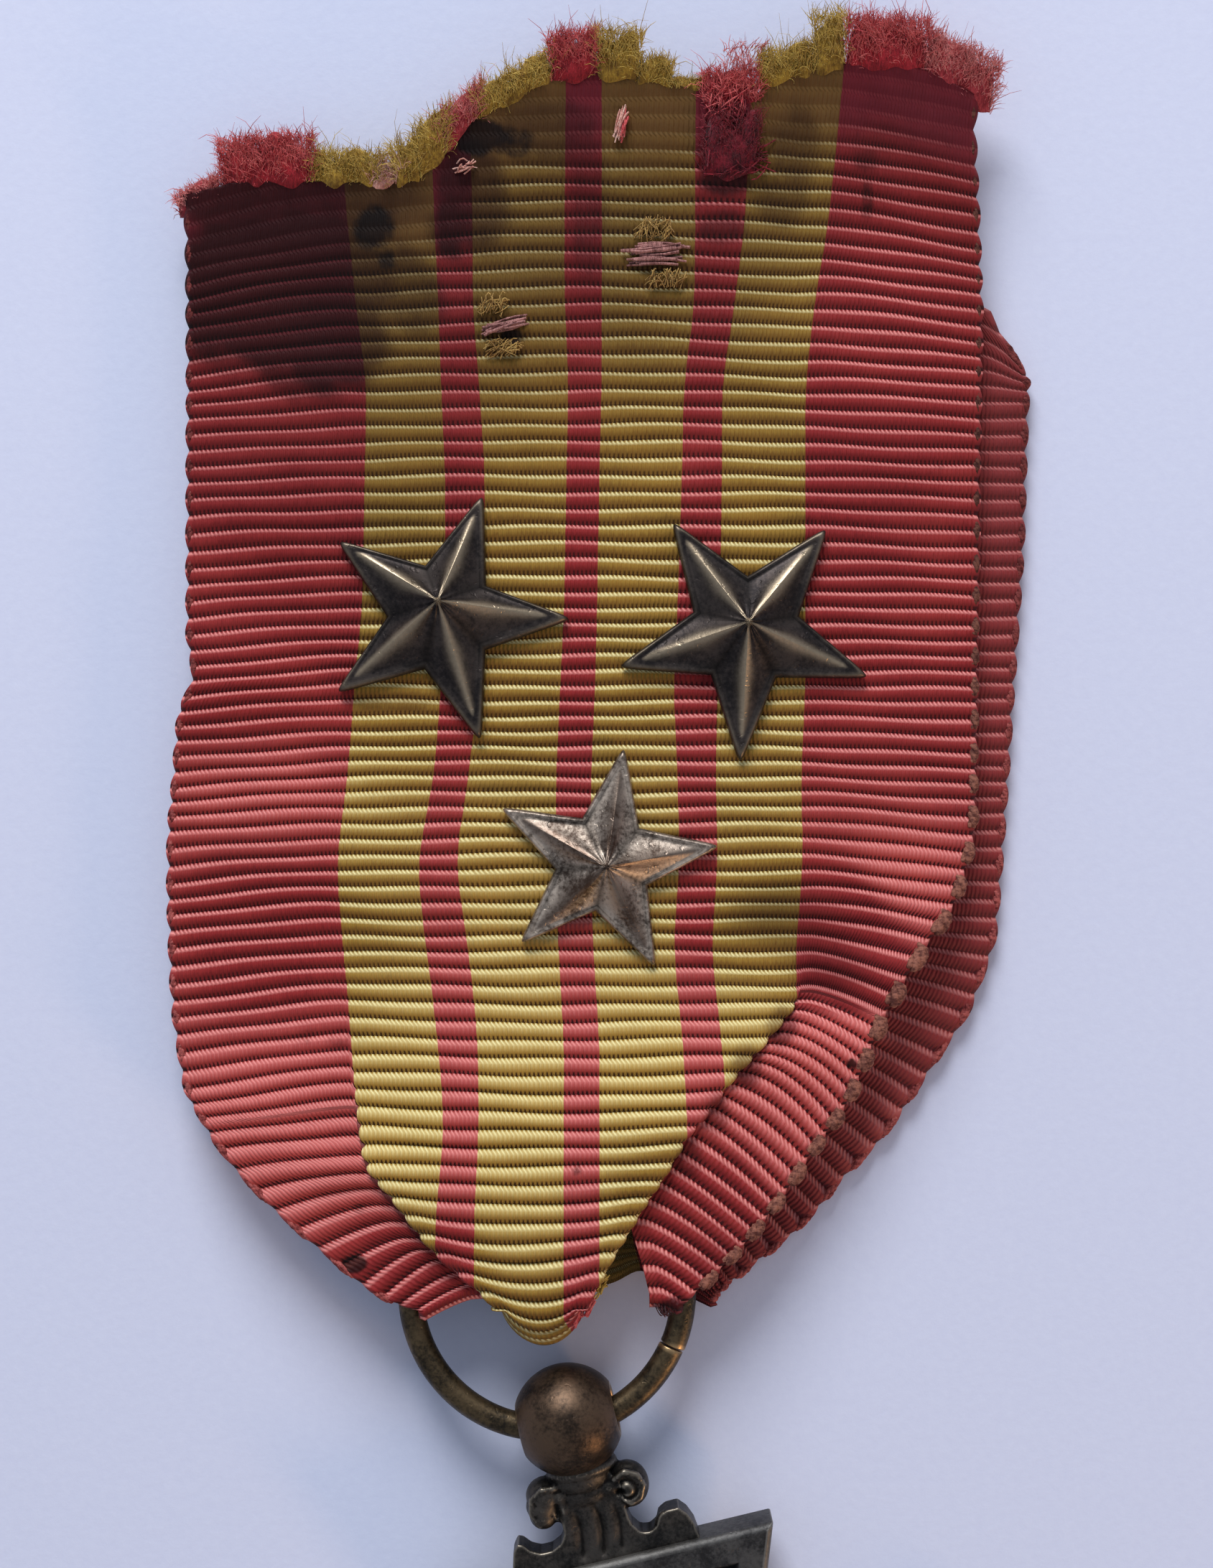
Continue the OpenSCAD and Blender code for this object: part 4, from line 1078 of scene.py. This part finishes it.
def star_grid(x, y, tip, turn, peak_x, peak_y, ridge):
    """Ridged arms with flat flanks, a groove round the facets and a thin rim."""
    notch = STAR_ARM / 2
    spread = np.array([0.0, 0.018, 0.05, 0.11, 0.2, 0.33, 0.48, 0.66, 0.84, 1.0]) * notch
    one_arm = np.concatenate([-spread[::-1], spread[1:-1]])
    angles = np.concatenate([one_arm + STAR_ARM * k for k in range(5)] + [one_arm[:1] + 5 * STAR_ARM])
    local = np.concatenate([one_arm] * 5 + [one_arm[:1]])
    side = math.atan2(STAR_WAIST * math.sin(notch), 1 - STAR_WAIST * math.cos(notch))
    square = math.pi / 2 - side
    sharp = np.cos(np.abs(local) - square)
    blunt = (np.cos(local - square) ** TIP_POWER
             + np.cos(local + square).clip(0.0) ** TIP_POWER) ** (1 / TIP_POWER)
    reach = tip * math.sin(side) / np.where(np.abs(local) > 0.3, sharp, blunt)
    share, height = (np.array(column)[:, None] for column in zip(*STAR_SECTION))
    on_face = np.arange(len(share))[:, None] < STAR_FACE_ROWS
    radius = share * reach
    along = radius * np.cos(local)
    width = np.minimum(along * math.tan(notch), (tip - along) * math.tan(side)).clip(0.02)
    flank = np.clip(np.abs(radius * np.sin(local)) / width, 0, 1)
    hollowed = 0.40 * flank * (1 - flank) + 0.10 * np.exp(-(flank / 0.14) ** 2)
    z = STAR_BASE + height * (1 - hollowed * on_face * (share < FACET_END))
    heading = angles + math.radians(turn)
    inner = (1 - share) * on_face
    points = np.stack([x + radius * np.cos(heading) + peak_x * inner,
                       y + radius * np.sin(heading) + peak_y * inner, z], axis=-1)
    tips = smooth(along, tip * 0.45, tip * 0.8)
    rubbed = (0.9 * np.exp(-(flank / ridge) ** 2) * smooth(share, 0.0, 0.05) * (share < 0.84)
              + (0.05 + 0.3 * tips) * np.exp(-((share - RIM_AT) / 0.03) ** 2)) * on_face
    hollow = (0.7 * smooth(flank, 0.6, 1.0) * (along < tip * 0.42) * smooth(share, 0.1, 0.4)
              + 0.45 * np.exp(-((share - FACET_END) / 0.02) ** 2)) * on_face
    rubbed = rubbed + (share < 0.05)
    return points, dict(rubbed=np.clip(rubbed, 0, 1), hollow=np.clip(hollow, 0, 1))


# The plain post under a star: radius, length and height of its middle
POST_R, POST_LEN, POST_AT = 0.45, 1.3, 1.75
metals = {name: bronze_paint(name) for name in BRONZES}


def star_piece(node):
    metal, slot = STAR_LOOKS[node]
    shape = moved_grid(*star_grid(*STARS[node]))
    bmesh.ops.create_cone(shape, cap_ends=True, segments=20, radius1=POST_R, radius2=POST_R, depth=POST_LEN,
                          matrix=Matrix.Translation((*STARS[node][:2], POST_AT)))
    made = piece(node + "_struck", shape, metals[metal])
    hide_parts(node)


for node in STARS:
    star_piece(node)

# Suspension ring: round wire, butted together at a seam. It passes through the ball's middle and slopes
# down to its far end in the fold, where the wire's middle is at RING_UNDER
RING_R, WIRE_R, SEAM, SEAM_AT = 6.37, 0.6, 0.08, -24.0
BALL_R = 2.58
BALL_AT = Vector((-4.39, -9.41, BALL_R))
RING_AT = Vector((-5.38, -3.45, 0))
RING_UNDER = 1.85
ring_reach = RING_AT.y - BALL_AT.y
ring_tilt = math.asin((BALL_R - RING_UNDER) / (RING_R + ring_reach))
RING_AT.z = BALL_R - ring_reach * math.sin(ring_tilt)


def ring_shape():
    """The wire, a little thicker and wavy as bent by hand, with the edges of its cut ends rounded."""
    ring = bmesh.new()
    gap = SEAM / RING_R
    start = Matrix.Translation((RING_R, 0, 0)) @ Matrix.Rotation(math.pi / 2, 4, "X")
    bmesh.ops.create_circle(ring, segments=24, radius=WIRE_R, matrix=start)
    bmesh.ops.spin(ring, geom=ring.verts[:] + ring.edges[:], cent=(0, 0, 0), axis=(0, 0, 1),
                   angle=2 * math.pi - gap, steps=150, use_merge=False)
    for vert in ring.verts:
        turn = math.atan2(vert.co.y, vert.co.x) % (2 * math.pi)
        vert.co *= 1 + 0.004 * math.exp(-(turn / 0.25) ** 2)
        vert.co.z += 0.02 * math.sin(3 * turn)
    open_ends = [edge for edge in ring.edges if edge.is_boundary]
    bmesh.ops.holes_fill(ring, edges=open_ends, sides=0)
    ends = [edge for edge in ring.edges if any(len(face.verts) > 4 for face in edge.link_faces)]
    bmesh.ops.bevel(ring, geom=ends, offset=0.06, segments=2, profile=0.5, affect="EDGES", material=-1)
    bmesh.ops.recalc_face_normals(ring, faces=ring.faces)
    lie = (Matrix.Translation(RING_AT) @ Matrix.Rotation(-ring_tilt, 4, "X")
           @ Matrix.Rotation(math.radians(SEAM_AT) + gap / 2, 4, "Z"))
    ring.transform(lie)
    return ring


ring = piece("ring_wire", ring_shape(), metals["ring_bronze"], wear=True)
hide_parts("suspension_ring")

# The pendant's own frame: origin in the ball's middle, +Y towards the ring.
# The cross: distance from the ball to its upper arm, an arm's length, half its outer width and the lean of
# its sides, then its thickness, the rim's width and slope, the field's depth and the round of the edges
ARM_START, ARM_LEN, ARM_HALF, ARM_LEAN = 6.6, 20.0, 8.2, math.radians(20)
CROSS_T, RIM_W, RIM_SLOPE, FIELD_DEPTH, SOFT_EDGE = 2.4, 1.4, 0.22, 0.4, 0.32
PENDANT = (Matrix.Translation(BALL_AT) @ Matrix.Rotation(math.radians(13.5), 4, "Z")
           @ Matrix.Rotation(math.atan((BALL_R - CROSS_T / 2) / (ARM_START + 2 * ARM_LEN)), 4, "X"))
CROSS_AT = PENDANT @ Matrix.Translation((0, -ARM_START - ARM_LEN, 0))


def lathe(section, axis, steps):
    """Turns a section, a list of points, all round an axis through the origin into a closed shape."""
    turned = bmesh.new()
    verts = [turned.verts.new(point) for point in section]
    edges = [turned.edges.new(pair) for pair in zip(verts, verts[1:])]
    bmesh.ops.spin(turned, geom=verts + edges, cent=(0, 0, 0), axis=axis, angle=2 * math.pi, steps=steps,
                   use_merge=True)
    bmesh.ops.remove_doubles(turned, verts=turned.verts, dist=0.002)
    bmesh.ops.recalc_face_normals(turned, faces=turned.faces)
    return turned


def ball_shape():
    """The drilled ball, with a thin lip round each hole."""
    bore, lip, flat = 1.1, 1.27, 2.24
    mouth = [(flat, lip), (flat + 0.02, lip - 0.05), (flat + 0.01, bore + 0.07), (flat - 0.05, bore + 0.01)]
    bend = [(math.sin(a) * BALL_R, math.cos(a) * BALL_R) for a in np.linspace(-0.98, 0.98, 41)]
    bend = [(x, r) for x, r in bend if r > lip + 0.03]
    inside = [(x, bore) for x in np.linspace(flat - 0.1, -flat + 0.1, 9)]
    section = [(x, r, 0) for x, r in [(-x, r) for x, r in mouth[::-1]] + bend + mouth + inside]
    ball = lathe(section + section[:1], (1, 0, 0), 80)
    ball.transform(PENDANT)
    return ball


ball = piece("pendant_ball", ball_shape(), metals["ball_bronze"], wear=True)

# Scrolls. Rounded lumps that melt into one cast piece. columns: x, y, z, radii along x y z
LUMPS = (
    (0.0, -2.65, 0.0, 1.50, 0.90, 1.20), (0.0, -3.4, 0.0, 1.5, 0.8, 0.95),
    (2.02, -3.55, 0.05, 0.98, 1.10, 0.92), (-1.85, -3.18, 0.0, 0.92, 0.84, 0.92),
    (-2.16, -4.08, -0.02, 0.66, 0.66, 0.80), (-1.2, -3.3, 0.0, 0.9, 0.6, 0.85),
    (1.15, -3.35, 0.0, 0.9, 0.6, 0.85), (-2.1, -3.65, 0.0, 0.78, 0.7, 0.85),
    (3.7, -5.45, 0.25, 0.62, 0.40, 0.45), (-1.25, -3.9, 0.0, 0.75, 0.72, 0.78),
    (0.1, -2.3, 0.0, 1.7, 0.6, 1.35), (1.25, -4.0, 0.0, 0.7, 0.6, 0.74),
)
# Flutes of the stem. columns: x, width, depth as a share of the first's
FLUTES = ((0.30, 0.20, 1.0), (-0.70, 0.26, 0.9), (1.15, 0.22, 0.6))
# Thickness of the stem and its leaves, and the grid on which all of it melts into one skin
STEM_T, SKIN_GRID = 1.44, 0.07
# Bars on the scrolls, each a row of beads. columns: x, y, z, radius where the bar bends
BAR_BEADS = 6
BARS = (
    ((1.5, -3.0, 0.76, 0.15), (2.0, -2.75, 0.84, 0.17), (2.55, -3.05, 0.78, 0.17), (2.72, -3.6, 0.70, 0.17),
     (2.45, -4.15, 0.66, 0.17), (2.0, -4.3, 0.70, 0.16), (1.8, -4.05, 0.80, 0.14)),
    ((-1.3, -2.8, 0.72, 0.13), (-1.9, -2.7, 0.80, 0.15), (-2.5, -3.1, 0.66, 0.15), (-2.65, -3.8, 0.58, 0.15),
     (-2.4, -4.4, 0.55, 0.14)),
    ((-3.6, -5.3, 0.40, 0.20), (-3.2, -5.75, 0.50, 0.22), (-2.6, -5.95, 0.52, 0.22),
     (-1.9, -5.85, 0.52, 0.20)),
    ((3.0, -5.5, 0.42, 0.20), (3.3, -5.25, 0.50, 0.22), (4.0, -5.25, 0.50, 0.20), (4.35, -5.7, 0.45, 0.18)),
)
# Outline of the stem with its two leaves, in plan
STEM = (
    (1.35, -2.6), (1.6, -3.4), (1.65, -4.2), (1.72, -4.9), (1.8, -5.3), (2.1, -5.72), (2.5, -5.82),
    (2.9, -5.62), (3.08, -5.22), (3.45, -5.03), (4.05, -5.02), (4.4, -5.4), (4.62, -5.95), (4.75, -6.9),
    (-4.3, -6.9), (-4.1, -6.1), (-3.88, -5.3), (-3.62, -4.95), (-3.35, -5.05), (-3.1, -5.38),
    (-2.65, -5.62), (-2.1, -5.62), (-1.62, -5.4), (-1.38, -5.0), (-1.38, -4.5), (-1.55, -3.4),
    (-1.35, -2.6),
)


def raise_face(shape, face, height):
    """Extrudes a face straight up."""
    top = bmesh.ops.extrude_face_region(shape, geom=[face])["geom"]
    corners = [part for part in top if isinstance(part, bmesh.types.BMVert)]
    bmesh.ops.translate(shape, verts=corners, vec=(0, 0, height))
    bmesh.ops.recalc_face_normals(shape, faces=shape.faces)


def rough_scrolls():
    """Lumps, bars and the stem, laid over each other."""
    cast = bmesh.new()
    for x, y, z, rx, ry, rz in LUMPS:
        place = Matrix.Translation((x, y, z)) @ Matrix.Diagonal((rx, ry, rz, 1))
        bmesh.ops.create_icosphere(cast, subdivisions=4, radius=1, matrix=place)
    for bar in BARS:
        for a, b in zip(bar, bar[1:]):
            for k in range(BAR_BEADS + 1):
                x, y, z, r = (p + (q - p) * k / BAR_BEADS for p, q in zip(a, b))
                bmesh.ops.create_icosphere(cast, subdivisions=2, radius=r,
                                           matrix=Matrix.Translation((x, y, z)))
    stem = cast.faces.new([cast.verts.new((x, y, -STEM_T / 2)) for x, y in STEM])
    raise_face(cast, stem, STEM_T)
    return cast


def ditch(off, width):
    """How deep a soft groove is at a distance off its middle."""
    return math.exp(-(off / width) ** 2)


def scroll_shape():
    """Neck, scrolls, fluted stem and leaves: fused into one skin, then carved on both faces."""
    mesh = bpy.data.meshes.new("scrolls_rough")
    lumps = rough_scrolls()
    lumps.to_mesh(mesh)
    lumps.free()
    rough = bpy.data.objects.new("scrolls_rough", mesh)
    scene.collection.objects.link(rough)
    skin = rough.modifiers.new("skin", "REMESH")
    skin.mode, skin.voxel_size = "VOXEL", SKIN_GRID
    ease = rough.modifiers.new("ease", "SMOOTH")
    ease.factor, ease.iterations = 0.6, 6
    cast = evaluated_shape(rough)
    for vert in cast.verts:
        x, y, z = vert.co
        across = x + 0.12 * math.sin(1.6 * y)
        flutes = sum(deep * ditch(across - middle, width) for middle, width, deep in FLUTES)
        on_stem = float(smooth(-y, 3.7, 4.8) * smooth(y, -6.6, -6.0))
        eye = ditch(math.hypot(x - 1.62, y + 3.66), 0.17)
        curl = ditch(math.hypot(x - 1.95, y + 3.6) - 0.42, 0.10) * (x > 1.7)
        left_curl = ditch(x + 1.42, 0.14) * ditch(y + 4.0, 0.4)
        depth = 0.22 * flutes * on_stem + 0.40 * eye + 0.14 * curl + 0.32 * left_curl
        vert.co.z -= float(smooth(abs(z), 0.3, 0.7)) * math.copysign(depth, z)
    cast.transform(PENDANT)
    return cast


scrolls = piece("pendant_scrolls", scroll_shape(), metals["scroll_bronze"], wear=True)

# The roundel at the cross's middle, from its middle out. columns: radius, height
ROUNDEL = (
    (0, 1.26), (1.6, 1.25), (3.2, 1.20), (4.6, 1.12), (4.95, 1.10), (5.06, 1.16), (5.12, 1.36), (5.22, 1.45),
    (5.45, 1.50), (5.72, 1.49), (5.92, 1.43), (6.0, 1.32), (6.02, 0.9), (0, 0.9),
)


def cross_shape():
    """Four widening arms with a raised rim round a sunk field, and a bare roundel on both faces."""
    root = ARM_HALF - ARM_LEN * math.tan(ARM_LEAN)
    corner = root / (1 - math.tan(ARM_LEAN))
    cross = bmesh.new()
    points = []
    for k in range(4):
        turn = Matrix.Rotation(math.radians(-90 * k), 4, "Z")
        arm = ((-corner, corner), (-ARM_HALF, ARM_LEN), (ARM_HALF, ARM_LEN))
        points += [turn @ Vector((x, y, -CROSS_T / 2)) for x, y in arm]
    face = cross.faces.new([cross.verts.new(p) for p in points])
    raise_face(cross, face, CROSS_T)
    soften = dict(profile=0.5, affect="EDGES", material=-1)
    outline = [e for e in cross.edges if abs(e.verts[0].co.z - e.verts[1].co.z) < 0.1]
    bmesh.ops.bevel(cross, geom=outline, offset=SOFT_EDGE, segments=4, **soften)
    flats = [f for f in cross.faces if abs(f.normal.z) > 0.99 and len(f.verts) == 12]
    bmesh.ops.inset_region(cross, faces=flats, thickness=RIM_W - SOFT_EDGE, use_even_offset=True)
    bmesh.ops.inset_region(cross, faces=flats, thickness=RIM_SLOPE, depth=-FIELD_DEPTH,
                           use_even_offset=True)
    sharp = [e for e in cross.edges if len(e.link_faces) == 2 and e.calc_face_angle() > 0.6]
    bmesh.ops.bevel(cross, geom=sharp, offset=0.10, segments=3, **soften)
    for side in (1, -1):
        join(cross, lathe([(r, 0, side * z) for r, z in ROUNDEL], (0, 0, 1), 96))
    cross.transform(CROSS_AT)
    return cross


cross = piece("pendant_cross", cross_shape(), metals["cross_bronze"], wear=True)
for part in (ball, scrolls, cross):
    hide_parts("cross_pendant")


# Floor
paper = Paint("pale_paper", Roughness=0.9)
grain = paper.noise(paper.place(), 2.2, 5.0, 0.6)
paper.finish(Base_Color=paper.mix(grain, tone(203, 206, 227), tone(212, 215, 233)),
             Normal=paper.bump(grain, 0.25, 0.05))
floor_shape = bmesh.new()
bmesh.ops.create_grid(floor_shape, x_segments=1, y_segments=1, size=600)
piece("floor", floor_shape, paper.material)
